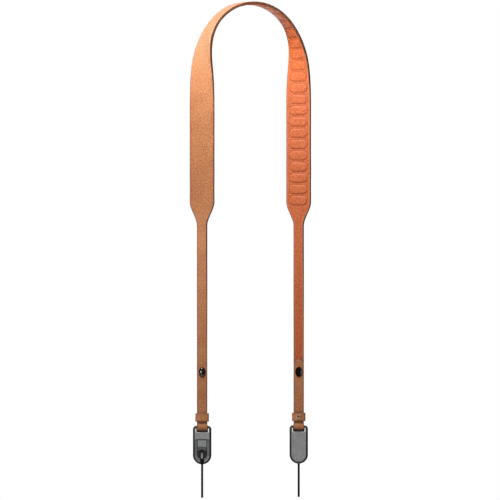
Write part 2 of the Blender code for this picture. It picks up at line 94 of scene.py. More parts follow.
@dataclass(frozen=True)
class Value:
    """What a node gives out. An operator on it adds a Math node."""

    tree: "Tree"
    socket: bpy.types.NodeSocket

    def join(self, operation: str, first: "Term", second: "Term") -> "Value":
        """What a Math node makes of two values."""
        return self.tree.add("ShaderNodeMath", {"operation": operation}, {0: first, 1: second})

    def __add__(self, other: "Term") -> "Value":
        """Sum."""
        return self.join("ADD", self, other)

    def __radd__(self, other: "Term") -> "Value":
        """Sum, number first."""
        return self.join("ADD", other, self)

    def __sub__(self, other: "Term") -> "Value":
        """Difference."""
        return self.join("SUBTRACT", self, other)

    def __rsub__(self, other: "Term") -> "Value":
        """Difference, number first."""
        return self.join("SUBTRACT", other, self)

    def __mul__(self, other: "Term") -> "Value":
        """Product."""
        return self.join("MULTIPLY", self, other)


Term = Value | float


class Tree:
    """The nodes of one material."""

    LAP_PATCH = 2.5
    LAP_WANDER = 0.8
    LAP_FROM = 0.8
    LAP_TO = 1.15

    def __init__(self, name: str) -> None:
        """Start a material.

        Args:
            name: the material's name.
        """
        self.material = bpy.data.materials.new(name)
        self.material.use_nodes = True
        self.nodes = self.material.node_tree.nodes
        self.links = self.material.node_tree.links
        self.nodes.clear()

    def feed(self, socket: bpy.types.NodeSocket, value: object) -> None:
        """Link a value to a socket, or set a constant on it.

        Args:
            socket: the socket.
            value: what a node gives out, a colour or another constant.
        """
        if isinstance(value, Value):
            self.links.new(value.socket, socket)
        elif isinstance(value, tuple) and socket.type == "RGBA":
            socket.default_value = (*value, 1.0)
        else:
            socket.default_value = value

    def add(self, kind: str, settings: dict | None = None, inputs: dict | None = None,
            output: str | int = 0) -> Value:
        """Add a node.

        Args:
            kind: the node's type.
            settings: its properties.
            inputs: values or links of its sockets, by name or number.
            output: which of its sockets is read.

        Returns:
            What that socket gives out.
        """
        node = self.nodes.new(kind)
        for name, setting in (settings or {}).items():
            setattr(node, name, setting)
        for key, value in (inputs or {}).items():
            self.feed(node.inputs[key], value)
        return Value(self, node.outputs[output])

    def attribute(self, name: str, output: str = "Fac") -> Value:
        """A value that the mesh carries."""
        return self.add("ShaderNodeAttribute", {"attribute_name": name}, output=output)

    def place(self) -> Value:
        """Object coordinates."""
        return self.add("ShaderNodeTexCoord", output="Object")

    def noise(self, vector: Value, size: float, detail: float = 2.0, roughness: float = 0.5) -> Value:
        """Soft blotches about as wide as size."""
        return self.add("ShaderNodeTexNoise", None,
                        {"Vector": vector, "Scale": 1.0 / size, "Detail": detail, "Roughness": roughness})

    def cells(self, vector: Value, size: float, feature: str = "F1") -> Value:
        """Distance from the middle, or from the border, of cells about as wide as size."""
        return self.add("ShaderNodeTexVoronoi", {"feature": feature},
                        {"Vector": vector, "Scale": 1.0 / size}, "Distance")

    def shifted(self, vector: Value, size: float, reach: float) -> Value:
        """A place moved about by soft noise, so that a pattern on it runs less evenly."""
        drift = self.add("ShaderNodeTexNoise", None, {"Vector": vector, "Scale": 1.0 / size}, "Color")
        return self.add("ShaderNodeVectorMath", {"operation": "MULTIPLY_ADD"},
                        {0: drift, 1: (reach, reach, reach), 2: vector})

    def between(self, value: Value, low: float, high: float) -> Value:
        """0 at low, 1 at high, held past both, with a soft step from one to the other."""
        return self.add("ShaderNodeMapRange", {"interpolation_type": "SMOOTHSTEP"},
                        {"Value": value, "From Min": low, "From Max": high})

    def mix(self, share: Term, first: object, second: object, blend: str = "MIX") -> Value:
        """One colour turned into another by a share."""
        return self.add("ShaderNodeMix", {"data_type": "RGBA", "blend_type": blend},
                        {0: share, 6: first, 7: second}, 2)

    def painted_edge(self, vector: Value, width: float) -> Value:
        """1 where the edge's paint laps onto the leather's face, with a slightly uneven border."""
        wander = (self.noise(vector, self.LAP_PATCH * width) - 0.5) * (self.LAP_WANDER * width)
        return 1.0 - self.between(self.attribute("edge") + wander, self.LAP_FROM * width, self.LAP_TO * width)

    def bump(self, height: Value, depth: float, strength: float = 1.0) -> Value:
        """A surface normal from a height whose 1 stands for a depth."""
        return self.add("ShaderNodeBump", None, {"Height": height, "Distance": depth, "Strength": strength})

    def finish(self, sockets: dict) -> Material:
        """Close the material with its surface shader.

        Args:
            sockets: values or links of the Principled BSDF's sockets.

        Returns:
            The material.
        """
        surface = self.add("ShaderNodeBsdfPrincipled", None, sockets)
        end = self.nodes.new("ShaderNodeOutputMaterial")
        self.feed(end.inputs["Surface"], surface)
        return self.material


# Finishes

@dataclass(frozen=True)
class Patches:
    """Soft patches, 0 between them and 1 on them."""

    size: float
    low: float
    high: float
    detail: float = 4.0
    roughness: float = 0.7

    def on(self, tree: Tree, vector: Value) -> Value:
        """The patches over a place."""
        return tree.between(tree.noise(vector, self.size, self.detail, self.roughness), self.low, self.high)


@dataclass(frozen=True)
class GrainedLeather:
    """Tan leather with a pebbled grain, a little darker by its painted edges, with painted shade under the
    fold, beside the keeper and down the ends, and a painted sheen over the neck.
    """

    name: str = "grained_leather"
    light: Colour = screen(222, 154, 101)
    deep: Colour = screen(177, 105, 61)
    crevice: Colour = screen(134, 72, 38)
    rim: Colour = screen(170, 98, 66)
    # painted shade down the ends, where the light falls off
    tanned: Colour = (0.84, 0.77, 0.66)
    # painted sheen: the pale colour stands in for the light's sheen over the neck
    pale: Colour = screen(205, 170, 140)
    # near-black painted shade, for under the fold and beside the keeper's edges
    rubbed: Colour = screen(38, 20, 15)
    paint: Colour = screen(104, 60, 38)
    blotches: Patches = Patches(0.0020, 0.36, 0.64)
    clouds: Patches = Patches(0.024, 0.35, 0.65, detail=1.0, roughness=0.5)
    least_deep: float = 0.04
    blotch_share: float = 0.75
    cloud_share: float = 0.2
    crease_share: float = 0.12
    crease_width: float = 0.16
    rim_share: float = 0.45
    rim_width: float = 0.0024
    rim_start: float = 0.6
    sheen_share: float = 0.3
    fold_shade_share: float = 0.92
    paint_width: float = 0.00045
    pebble: float = 0.0013
    pore: float = 0.3
    drift_size: float = 2.5
    drift_reach: float = 0.8
    pebble_rise: float = 0.7
    border_rise: float = 0.5
    border_width: float = 0.22
    pore_rise: float = 0.25
    grain_depth: float = 0.00016
    grain_strength: float = 0.65
    roughness: float = 0.48
    blotch_roughness: float = 0.10
    crease_roughness: float = 0.12

    def material(self) -> Material:
        """The finish as a material on the flat pattern's own coordinates."""
        tree = Tree(self.name)
        flat = tree.attribute("flat", "Vector")
        uneven = tree.shifted(flat, self.drift_size * self.pebble, self.drift_reach * self.pebble)
        pebbles = tree.cells(uneven, self.pebble)
        border = tree.cells(uneven, self.pebble, "DISTANCE_TO_EDGE")
        pores = tree.noise(flat, self.pore * self.pebble, detail=3.0, roughness=0.6)
        tone = self.blotches.on(tree, flat)
        depth = self.least_deep + tone * self.blotch_share + self.clouds.on(tree, flat) * self.cloud_share
        creased = 1.0 - tree.between(border, 0.0, self.crease_width)
        by_edge = 1.0 - tree.between(tree.attribute("edge"), self.rim_start * self.rim_width, self.rim_width)
        colour = tree.mix(depth, self.light, self.deep)
        colour = tree.mix(creased * self.crease_share, colour, self.crevice)
        colour = tree.mix(by_edge * self.rim_share, colour, self.rim)
        # painted shade: the colour is darkened down the ends, where the light falls off
        colour = tree.mix(tree.attribute("tanned"), colour, self.tanned, "MULTIPLY")
        # painted sheen: paler, less saturated colour over the top of the arch
        colour = tree.mix(tree.attribute("pale") * self.sheen_share, colour, self.pale)
        # painted shade under the fold and along the keeper's edges
        colour = tree.mix(tree.attribute("rubbed") * self.fold_shade_share, colour, self.rubbed)
        colour = tree.mix(tree.painted_edge(flat, self.paint_width), colour, self.paint)
        height = ((1.0 - pebbles) * self.pebble_rise
                  + tree.between(border, 0.0, self.border_width) * self.border_rise + pores * self.pore_rise)
        return tree.finish({
            "Base Color": colour,
            "Roughness": self.roughness + tone * self.blotch_roughness + creased * self.crease_roughness,
            "Specular IOR Level": 0.55,
            "Sheen Weight": 0.16,
            "Sheen Roughness": 0.4,
            "Normal": tree.bump(height, self.grain_depth, self.grain_strength),
        })


@dataclass(frozen=True)
class LiningLeather:
    """Smooth orange-brown leather, with painted shade in the channels between its pads and along the pressed
    line round each one.
    """

    name: str = "lining_leather"
    light: Colour = screen(222, 123, 74)
    deep: Colour = screen(183, 86, 42)
    margin: Colour = screen(219, 135, 98)
    # painted shade for the channels and pressed lines between the pads
    channel_shade: Colour = screen(146, 54, 26)
    paint: Colour = screen(84, 42, 26)
    blotches: Patches = Patches(0.0022, 0.34, 0.66, detail=3.0, roughness=0.65)
    least_deep: float = 0.15
    blotch_share: float = 0.7
    margin_share: float = 0.35
    margin_width: float = 0.0030
    margin_start: float = 0.7
    channel_shade_share: float = 0.08
    channel_relief: float = 0.45
    pressed_shade_share: float = 0.30
    paint_width: float = 0.0008
    grain: float = 0.0006
    drift_size: float = 2.0
    pore_rise: float = 0.6
    crease: float = 0.0022
    crease_rise: float = 0.8
    grain_depth: float = 0.00005
    roughness: float = 0.50
    blotch_roughness: float = 0.10

    def material(self) -> Material:
        """The finish as a material on the flat pattern's own coordinates."""
        tree = Tree(self.name)
        flat = tree.attribute("flat", "Vector")
        tone = self.blotches.on(tree, flat)
        start = self.margin_start * self.margin_width
        by_edge = 1.0 - tree.between(tree.attribute("edge"), start, self.margin_width)
        low = tree.between(tree.attribute("relief"), self.channel_relief, 0.0)
        colour = tree.mix(self.least_deep + tone * self.blotch_share, self.light, self.deep)
        colour = tree.mix(by_edge * self.margin_share, colour, self.margin)
        # painted shade in the channels and along the pressed lines round the pads
        colour = tree.mix(low * self.channel_shade_share, colour, self.channel_shade)
        colour = tree.mix(tree.attribute("pressed") * self.pressed_shade_share, colour, self.channel_shade)
        colour = tree.mix(tree.painted_edge(flat, self.paint_width), colour, self.paint)
        pores = tree.cells(tree.shifted(flat, self.drift_size * self.grain, self.grain), self.grain)
        creases = tree.noise(flat, self.crease, detail=4.0, roughness=0.65)
        height = (1.0 - pores) * self.pore_rise + creases * self.crease_rise
        return tree.finish({
            "Base Color": colour,
            "Roughness": self.roughness + tone * self.blotch_roughness,
            "Specular IOR Level": 0.3,
            "Normal": tree.bump(height, self.grain_depth),
        })


@dataclass(frozen=True)
class EdgePaint:
    """The dark, slightly glossy paint on the cut edges of the leather."""

    name: str = "edge_paint"
    thick: Colour = screen(104, 60, 38)
    worn: Colour = screen(146, 96, 66)
    wear: Patches = Patches(0.004, 0.48, 0.72)
    wear_share: float = 0.7
    roughness: float = 0.42
    worn_roughness: float = 0.22
    ripple: float = 0.0016
    ripple_depth: float = 0.00012
    ripple_strength: float = 0.7

    def material(self) -> Material:
        """The finish as a material on Object coordinates."""
        tree = Tree(self.name)
        place = tree.place()
        worn = self.wear.on(tree, place)
        ripples = tree.noise(place, self.ripple, detail=3.0)
        return tree.finish({
            "Base Color": tree.mix(worn * self.wear_share, self.thick, self.worn),
            "Roughness": self.roughness + worn * self.worn_roughness,
            "Normal": tree.bump(ripples, self.ripple_depth, self.ripple_strength),
        })


@dataclass(frozen=True)
class MouldedPlastic:
    """Moulded plastic with the fine texture of its tool."""

    name: str
    colour: Colour
    worn: Colour
    roughness: float = 0.5
    handling: Patches = Patches(0.007, 0.42, 0.70, roughness=0.6)
    handled_share: float = 0.5
    texture_share: float = 0.2
    handled_roughness: float = 0.10
    texture_roughness: float = 0.08
    texture: float = 0.00022
    texture_depth: float = 0.00002

    def material(self) -> Material:
        """The finish as a material on Object coordinates."""
        tree = Tree(self.name)
        place = tree.place()
        texture = tree.noise(place, self.texture, roughness=0.7)
        handled = self.handling.on(tree, place)
        share = handled * self.handled_share + texture * self.texture_share
        return tree.finish({
            "Base Color": tree.mix(share, self.colour, self.worn),
            "Roughness": self.roughness + handled * self.handled_roughness - texture * self.texture_roughness,
            "Specular IOR Level": 0.45,
            "Normal": tree.bump(texture, self.texture_depth),
        })


@dataclass(frozen=True)
class BlackNickel:
    """Glossy black plating, with faint marks of handling."""

    name: str = "black_nickel"
    # the slight warm tint is a painted reflection of the tan leather round the studs
    colour: Colour = screen(94, 78, 75)
    hazy: Colour = screen(112, 98, 95)
    haze: Patches = Patches(0.003, 0.45, 0.75, roughness=0.65)
    haze_share: float = 0.6
    roughness: float = 0.15
    hazy_roughness: float = 0.06
    scuff: float = 0.0004
    scuff_depth: float = 0.000006

    def material(self) -> Material:
        """The finish as a material on Object coordinates."""
        tree = Tree(self.name)
        place = tree.place()
        haze = self.haze.on(tree, place)
        scuffs = tree.noise(place, self.scuff, detail=3.0, roughness=0.8)
        return tree.finish({
            "Base Color": tree.mix(haze * self.haze_share, self.colour, self.hazy),
            "Metallic": 0.9,
            "Roughness": self.roughness + haze * self.hazy_roughness,
            "Coat Weight": 0.4,
            "Coat Roughness": 0.12,
            "Normal": tree.bump(scuffs, self.scuff_depth),
        })


@dataclass(frozen=True)
class BraidedFibre:
    """Dull fibre in strands, with painted shade down between them."""

    name: str
    lit: Colour
    sunk_shade: Colour
    fibre: float = 0.00018
    fibre_depth: float = 0.00004
    fuzz_share: float = 0.4
    strand_relief: tuple[float, float] = (0.15, 0.9)
    roughness: float = 0.72
    fuzz_roughness: float = 0.2

    def material(self) -> Material:
        """The finish as a material on the strands' own relief and on Object coordinates."""
        tree = Tree(self.name)
        fuzz = tree.noise(tree.place(), self.fibre, detail=3.0, roughness=0.75)
        # painted shade between the strands, the lit colour on their tops
        colour = tree.mix(tree.between(tree.attribute("relief"), *self.strand_relief), self.sunk_shade, self.lit)
        return tree.finish({
            "Base Color": tree.mix(fuzz * self.fuzz_share, colour, self.sunk_shade),
            "Roughness": self.roughness + fuzz * self.fuzz_roughness,
            "Specular IOR Level": 0.25,
            "Normal": tree.bump(fuzz, self.fibre_depth),
        })


@dataclass(frozen=True)
class PaleFloor:
    """A plain pale floor."""

    name: str = "pale_floor"
    colour: Colour = screen(222, 222, 221)
    roughness: float = 0.75
    cloud: float = 0.9
    cloud_roughness: float = 0.1

    def material(self) -> Material:
        """The finish as a material on Object coordinates."""
        tree = Tree(self.name)
        roughness = self.roughness + tree.noise(tree.place(), self.cloud, detail=1.0) * self.cloud_roughness
        return tree.finish({"Base Color": self.colour, "Roughness": roughness})


Finish = GrainedLeather | LiningLeather | EdgePaint | MouldedPlastic | BlackNickel | BraidedFibre


def once(finish: Finish) -> Material:
    """A dataclass field that makes a finish's material."""
    return field(default_factory=finish.material)


@dataclass
class Finishes:
    """Every material of the strap, each made once."""

    outer: Material = once(GrainedLeather())
    lining: Material = once(LiningLeather())
    paint: Material = once(EdgePaint())
    metal: Material = once(BlackNickel())
    cap: Material = once(BlackNickel("black_cap", screen(56, 44, 46), screen(70, 58, 60)))
    shell: Material = once(MouldedPlastic(
        "shell_plastic", screen(158, 159, 160), screen(176, 176, 175), roughness=0.5))
    button: Material = once(MouldedPlastic(
        "button_plastic", screen(166, 167, 168), screen(186, 186, 185), roughness=0.42))
    # near-black painted shade for the shell's rim, slot floor and track
    rim: Material = once(MouldedPlastic(
        "painted_shade_plastic", screen(46, 47, 49), screen(62, 62, 63), roughness=0.42))
    anchor: Material = once(MouldedPlastic(
        "anchor_plastic", screen(56, 56, 59), screen(72, 72, 75), roughness=0.26))
    # darker grey painted shade for the field floor and the button's scoop
    sunk_shade: Material = once(MouldedPlastic(
        "sunk_shade_plastic", screen(120, 121, 122), screen(134, 134, 134), roughness=0.5))
    # lighter grey: a painted highlight on the anchor ridge's crest
    rubbed: Material = once(MouldedPlastic(
        "glint_plastic", screen(150, 150, 153), screen(190, 190, 192), roughness=0.3))
    cord: Material = once(BraidedFibre("cord_fibre", screen(12, 12, 13), screen(4, 4, 4)))
    thread: Material = once(BraidedFibre(
        "thread_fibre", screen(232, 196, 158), screen(160, 116, 84), fibre=0.0003))


# Pieces

@dataclass(frozen=True)
class Role:
    """What a piece is to the CAD: the body that it rides on, its slot, which is not used, and the nodes that
    it stands for.
    """

    body: str
    slot: str
    stands_for: tuple[str, ...] = ()


def bare_object(name: str, bm: Mesh) -> bpy.types.Object:
    """A mesh object of a bmesh, linked to the scene.

    Args:
        name: the object's name.
        bm: its shape, which is freed.

    Returns:
        The object.
    """
    mesh = bpy.data.meshes.new(name)
    bm.to_mesh(mesh)
    bm.free()
    obj = bpy.data.objects.new(name, mesh)
    bpy.context.scene.collection.objects.link(obj)
    return obj


def add_piece(name: str, bm: Mesh, role: Role, materials: Sequence[Material], sharp: float,
              even_shading: bool = False) -> bpy.types.Object:
    """Turn a bmesh into a finished piece of the strap.

    Args:
        name: the piece's name.
        bm: its shape, in place.
        role: what it is to the CAD.
        materials: its materials, in the order of its faces' numbers.
        sharp: the angle in degrees past which an edge is shaded sharp.
        even_shading: whether flat faces keep their own shading beside rounded ones.

    Returns:
        The object.
    """
    obj = bare_object(name, bm)
    for material in materials:
        obj.data.materials.append(material)
    obj.data.shade_smooth()
    obj.data.set_sharp_from_angle(angle=math.radians(sharp))
    if even_shading:
        weighted = obj.modifiers.new("even shading", "WEIGHTED_NORMAL")
        weighted.keep_sharp = True
    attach(obj, role.body)
    if role.stands_for:
        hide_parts(*role.stands_for)
    LOG.info("%s: %d faces, rides on %s", name, len(obj.data.polygons), role.body)
    return obj


# Shapes

class Carve(Enum):
    """What a Boolean tool does."""

    REMOVE = "DIFFERENCE"
    JOIN = "UNION"


def carve(body: Mesh, tools: Sequence[tuple[Carve, Mesh]]) -> Mesh:
    """Cut or join shapes with Boolean modifiers.

    Args:
        body: the shape that is worked on.
        tools: the other shapes in order, each with what it does.

    Returns:
        The result, as one bmesh.
    """
    target = bare_object("carved", body)
    helpers = []
    for way, tool in tools:
        helper = bare_object("tool", tool)
        modifier = target.modifiers.new("carve", "BOOLEAN")
        modifier.operation = way.value
        modifier.object = helper
        modifier.solver = "EXACT"
        helpers.append(helper)
    mesh = bpy.data.meshes.new_from_object(target.evaluated_get(bpy.context.evaluated_depsgraph_get()))
    result = bmesh.new()
    result.from_mesh(mesh)
    for obj in (target, *helpers):
        bpy.data.objects.remove(obj, do_unlink=True)
    bmesh.ops.remove_doubles(result, verts=result.verts, dist=MERGE_DISTANCE)
    return result


def arc(centre: tuple[float, float], radius: float, start: float, end: float, steps: int) -> Outline:
    """Points of an arc, both ends among them; angles in degrees from +X towards +Z."""
    angles = [math.radians(start + (end - start) * i / steps) for i in range(steps + 1)]
    return [(centre[0] + radius * math.cos(a), centre[1] + radius * math.sin(a)) for a in angles]


def round_corners(centres: Sequence[tuple[float, float]], radius: float, steps: int) -> Outline:
    """Quarter arcs about centres, the first from +X to +Z and each other one a quarter turn further on."""
    return [point for turn, centre in enumerate(centres)
            for point in arc(centre, radius, 90.0 * turn, 90.0 * (turn + 1), steps)]


def rounding(radius: float, steps: int) -> Outline:
    """A rounded edge from the side to the face: how far in from the side and down from the face it is."""
    angles = [QUARTER * i / steps for i in range(steps + 1)]
    return [(radius * (1.0 - math.cos(angle)), radius * (1.0 - math.sin(angle))) for angle in angles]


def stack(layers: Layers) -> Mesh:
    """A closed shape through outlines in X and Z at rising depths along Y.

    Args:
        layers: outlines with as many points each, and their depths.

    Returns:
        The shape, with its faces pointing out.
    """
    bm = bmesh.new()
    outline, depth = layers[0]
    ring = [bm.verts.new((x, depth, z)) for x, z in outline]
    cap = bm.faces.new(ring)
    for outline, depth in layers[1:]:
        grown = bmesh.ops.extrude_face_region(bm, geom=[cap])["geom"]
        copies = {item.co[:]: item for item in grown if isinstance(item, bmesh.types.BMVert)}
        if len(bm.faces) > len(ring) + 2:
            bmesh.ops.delete(bm, geom=[cap], context="FACES_ONLY")
        cap = next(item for item in grown if isinstance(item, bmesh.types.BMFace))
        ring = [copies[vert.co[:]] for vert in ring]
        for vert, (x, z) in zip(ring, outline):
            vert.co = (x, depth, z)
    bmesh.ops.recalc_face_normals(bm, faces=bm.faces[:])
    return bm


def rolled(bm: Mesh, around: int, along: int) -> Iterator[tuple[bmesh.types.BMVert, int, int]]:
    """Make a grid whose first and last columns are to meet.

    Args:
        bm: the bmesh that it is made in.
        around: faces round the tube that it becomes.
        along: faces along it.

    Yields:
        Each point, with its number around and its number along.
    """
    bmesh.ops.create_grid(bm, x_segments=around, y_segments=along, size=1.0)
    for vert in bm.verts:
        yield vert, round(0.5 * (vert.co.x + 1.0) * around) % around, round(0.5 * (vert.co.y + 1.0) * along)


def sealed(bm: Mesh) -> Mesh:
    """Join the points that meet, and turn the faces outwards.

    Args:
        bm: the shape.

    Returns:
        The same shape.
    """
    bmesh.ops.remove_doubles(bm, verts=bm.verts, dist=MERGE_DISTANCE)
    bmesh.ops.recalc_face_normals(bm, faces=bm.faces[:])
    return bm


class MeasuredLine:
    """A line through points, read by its length."""

    def __init__(self, points: Sequence[Vector]) -> None:
        """Measure the line.

        Args:
            points: its points in order.
        """
        self.points = list(points)
        self.lengths = [0.0]
        for a, b in zip(self.points, self.points[1:]):
            self.lengths.append(self.lengths[-1] + (b - a).length)

    @property
    def length(self) -> float:
        """Its whole length."""
        return self.lengths[-1]

    def point(self, along: float) -> Vector:
        """The point at a length from its start.

        Args:
            along: the length, which is held between 0 and the line's own.

        Returns:
            The point.
        """
        along = min(max(along, 0.0), self.length)
        low = min(bisect_right(self.lengths, along) - 1, len(self.points) - 2)
        share = (along - self.lengths[low]) / (self.lengths[low + 1] - self.lengths[low])
        return self.points[low].lerp(self.points[low + 1], share)

    def way(self, along: float, step: float = 0.0004) -> Vector:
        """Its direction at a length from its start."""
        return (self.point(along + step) - self.point(along - step)).normalized()


def tube(path: Sequence[Vector], radius: float, sides: int, across: Vector,
         relief: Callable[[float, float], float]) -> Mesh:
    """A round strand along a path, with round ends.

    Args:
        path: its centre line.
        radius: its radius.
        sides: its faces all round.
        across: a direction that the path never takes.
        relief: 0 to 1 by the angle round the strand and the length along it; 1 is its full radius.

    Returns:
        The strand, which carries its relief.
    """
    line = MeasuredLine(path)
    last = len(path) - 1
    bm = bmesh.new()
    carried = bm.verts.layers.float.new("relief")
    for vert, column, row in rolled(bm, sides, last):
        angle = TURN * column / sides
        along = line.lengths[row]
        to_end = min(min(along, line.length - along) / radius, 1.0)
        height = relief(angle, along)
        size = radius * math.sqrt(1.0 - (1.0 - to_end) ** 2) * (1.0 - STRAND_RELIEF * (1.0 - height))
        way = (path[min(row + 1, last)] - path[max(row - 1, 0)]).normalized()
        first = (across - way * across.dot(way)).normalized()
        vert[carried] = height
        vert.co = path[row] + (first * math.cos(angle) + way.cross(first) * math.sin(angle)) * size
    return sealed(bm)


def turned(profile: Sequence[tuple[float, float]], steps: int) -> Mesh:
    """A turned shape about Z.

    Args:
        profile: its points as (radius, height).
        steps: its faces all round.

    Returns:
        The closed shape.
    """
    bm = bmesh.new()
    verts = [bm.verts.new((radius, 0.0, height)) for radius, height in profile]
    edges = [bm.edges.new(pair) for pair in zip(verts, verts[1:])]
    bmesh.ops.spin(bm, geom=verts + edges, cent=(0.0, 0.0, 0.0), axis=(0.0, 0.0, 1.0),
                   angle=TURN, steps=steps, use_merge=True, use_duplicate=False)
    return sealed(bm)


def merged(shapes: Iterable[Mesh]) -> Mesh:
    """Several shapes as one bmesh.

    Args:
        shapes: the shapes, which are freed.

    Returns:
        The bmesh.
    """
    whole = bmesh.new()
    for shape in shapes:
        mesh = bpy.data.meshes.new("part")
        shape.to_mesh(mesh)
        shape.free()
        whole.from_mesh(mesh)
        bpy.data.meshes.remove(mesh)
    return whole


def even_path(points: Sequence[Vector], spacing: float, steps: int = 20) -> list[Vector]:
    """Points at an even spacing on a smooth curve through chosen points.

    Args:
        points: the chosen points.
        spacing: about how far apart the new ones are.
        steps: how finely the curve between two chosen points is measured.

    Returns:
        The new points, from the first chosen point to the last.
    """
    ends = [2.0 * points[0] - points[1], *points, 2.0 * points[-1] - points[-2]]
    dense = []
    for before, start, end, after in zip(ends, ends[1:], ends[2:], ends[3:]):
        for i in range(steps):
            t = i / steps
            dense.append(0.5 * (2.0 * start + (end - before) * t
                                + (2.0 * before - 5.0 * start + 4.0 * end - after) * t ** 2
                                + (3.0 * start - before - 3.0 * end + after) * t ** 3))
    dense.append(points[-1])
    line = MeasuredLine(dense)
    count = max(2, round(line.length / spacing))
    return [line.point(line.length * i / count) for i in range(count + 1)]


# How the leather hangs

@dataclass(frozen=True)
class Station:
    """A place along the band: its middle, its width's direction and the way out of the outer face."""

    centre: Vector
    across: Vector
    outward: Vector

    def at(self, across: float, thick: float) -> Vector:
        """A point of the leather there."""
        return self.centre + self.across * across + self.outward * thick


@dataclass
class Hang:
    """The arch over the neck, the two legs, and the fold round each connector's bar."""

    arch_reach: float = 0.0668
    arch_drop: float = 0.091
    arch_fullness: float = 2.5
    arch_turn: float = math.radians(20.0)
    leg_turn: float = math.radians(72.0)
    square_turn: float = math.radians(90.0)
    twist_start: float = 0.013
    twist_length: float = 0.117
    square_start: float = 0.300
    square_length: float = 0.140
    bar_drop: float = 0.5485
    bar_radius: float = 0.0017
    spread_length: float = 0.0070
    tail_length: float = 0.0889
    ply: float = 0.0016
    gap: float = 0.0003
    pad_height: float = 0.0008
    arch_samples: int = 400
    spread_samples: int = 40
    fold_samples: int = 60
    line: MeasuredLine = field(init=False)

    def __post_init__(self) -> None:
        """Work out the line down the middle of the right half."""
        self.line = MeasuredLine(self.arch_points() + self.lower_points())

    @property
    def side(self) -> float:
        """From the band's middle surface to one of its faces."""
        return self.ply + 0.5 * self.gap

    @property
    def leg_offset(self) -> float:
        """From the middle between leg and tail to the middle surface of either."""
        return self.ply + self.gap

    @property
    def fold_radius(self) -> float:
        """From the bar's axis to the band's middle surface."""
        return self.bar_radius + self.gap + self.side

    @property
    def leg_place(self) -> Vector:
        """Where the right leg hangs, level with the origin."""
        reach, turn = self.arch_reach, self.arch_turn
        return Vector((reach * math.cos(turn), reach * math.sin(turn), 0.0))

    @property
    def bar_place(self) -> Vector:
        """The middle of the right connector's bar."""
        return self.leg_place + Vector((0.0, -self.leg_offset, -self.bar_drop))

    @property
    def fold_reach(self) -> float:
        """Half of the length that the fold takes round the bar."""
        return QUARTER * self.fold_radius

    def arch_points(self) -> list[Vector]:
        """Points from the top of the arch to where the leg hangs straight."""
        way = Vector((math.cos(self.arch_turn), math.sin(self.arch_turn), 0.0))
        top = self.pad_height + self.side
        points = []
        for i in range(self.arch_samples + 1):
            rest = math.cos(QUARTER * i / self.arch_samples)
            reach = self.arch_reach * math.sqrt(1.0 - rest ** self.arch_fullness)
            points.append(way * reach + Vector((0.0, 0.0, top - self.arch_drop * (1.0 - rest))))
        return points

    def lower_points(self) -> list[Vector]:
        """Points down the leg, round the bar and up the tail."""
        spread = []
        for i in range(self.spread_samples + 1):
            share = i / self.spread_samples
            offset = self.leg_offset + (self.fold_radius - self.leg_offset) * smoothstep(share)
            spread.append((offset, (1.0 - share) * self.spread_length - self.bar_drop))
        angles = [math.pi * i / self.fold_samples for i in range(1, self.fold_samples)]
        fold = [(self.fold_radius * math.cos(angle), -self.bar_drop - self.fold_radius * math.sin(angle))
                for angle in angles]
        tail = [(-offset, height) for offset, height in reversed(spread)]
        tail.append((-self.leg_offset, self.tail_length - self.bar_drop))
        return [self.leg_place + Vector((0.0, offset - self.leg_offset, height))
                for offset, height in spread + fold + tail]

    def turn_at(self, height: float) -> float:
        """How far the band's width is turned from the depth axis at a height."""
        twist = (self.leg_turn - self.arch_turn) * ramp(-height, self.twist_start, self.twist_length)
        return self.arch_turn + twist + (self.square_turn - self.leg_turn) * ramp(
            -height, self.square_start, self.square_length)

    def station(self, along: float) -> Station:
        """The place at a length from the top of the arch.

        Args:
            along: the length, less than 0 on the left half.

        Returns:
            The place.
        """
        centre = self.line.point(abs(along))
        way = self.line.way(abs(along))
        turn = self.turn_at(centre.z)
        across = Vector((math.sin(turn), -math.cos(turn), 0.0))
        across = (across - way * across.dot(way)).normalized()
        outward = across.cross(way)
        if along < 0.0:
            centre = Vector((-centre.x, -centre.y, centre.z))
            across = Vector((across.x, across.y, -across.z))
            outward = Vector((-outward.x, -outward.y, outward.z))
        return Station(centre, across, outward)


class Side(Enum):
    """The strap's two ends. The left one is the right one turned half round the upright axis."""

    RIGHT = "right"
    LEFT = "left"

    def matrix(self, hang: Hang) -> Matrix:
        """From a connector's own axes, about its bar, to the strap's."""
        turn = 0.0 if self is Side.RIGHT else math.pi
        return Matrix.Rotation(turn, 4, "Z") @ Matrix.Translation(hang.bar_place)

    def put(self, bm: Mesh, hang: Hang) -> Mesh:
        """Move a shape from the connector's axes to the strap's."""
        bmesh.ops.transform(bm, matrix=self.matrix(hang), verts=bm.verts)
        return bm


# The leather band

@dataclass(frozen=True)
class Waves:
    """The unevenness of leather worked by hand."""

    height: float
    rates: tuple[float, ...]
    start: tuple[float, float, float]

    def at(self, *place: float) -> float:
        """How far it stands up at a place, given by as many lengths as there are rates."""
        steps = [rate * length for rate, length in zip(self.rates, place)] + [0.0, 0.0]
        return self.height * noise.noise(Vector(self.start) + Vector(steps[:3]))


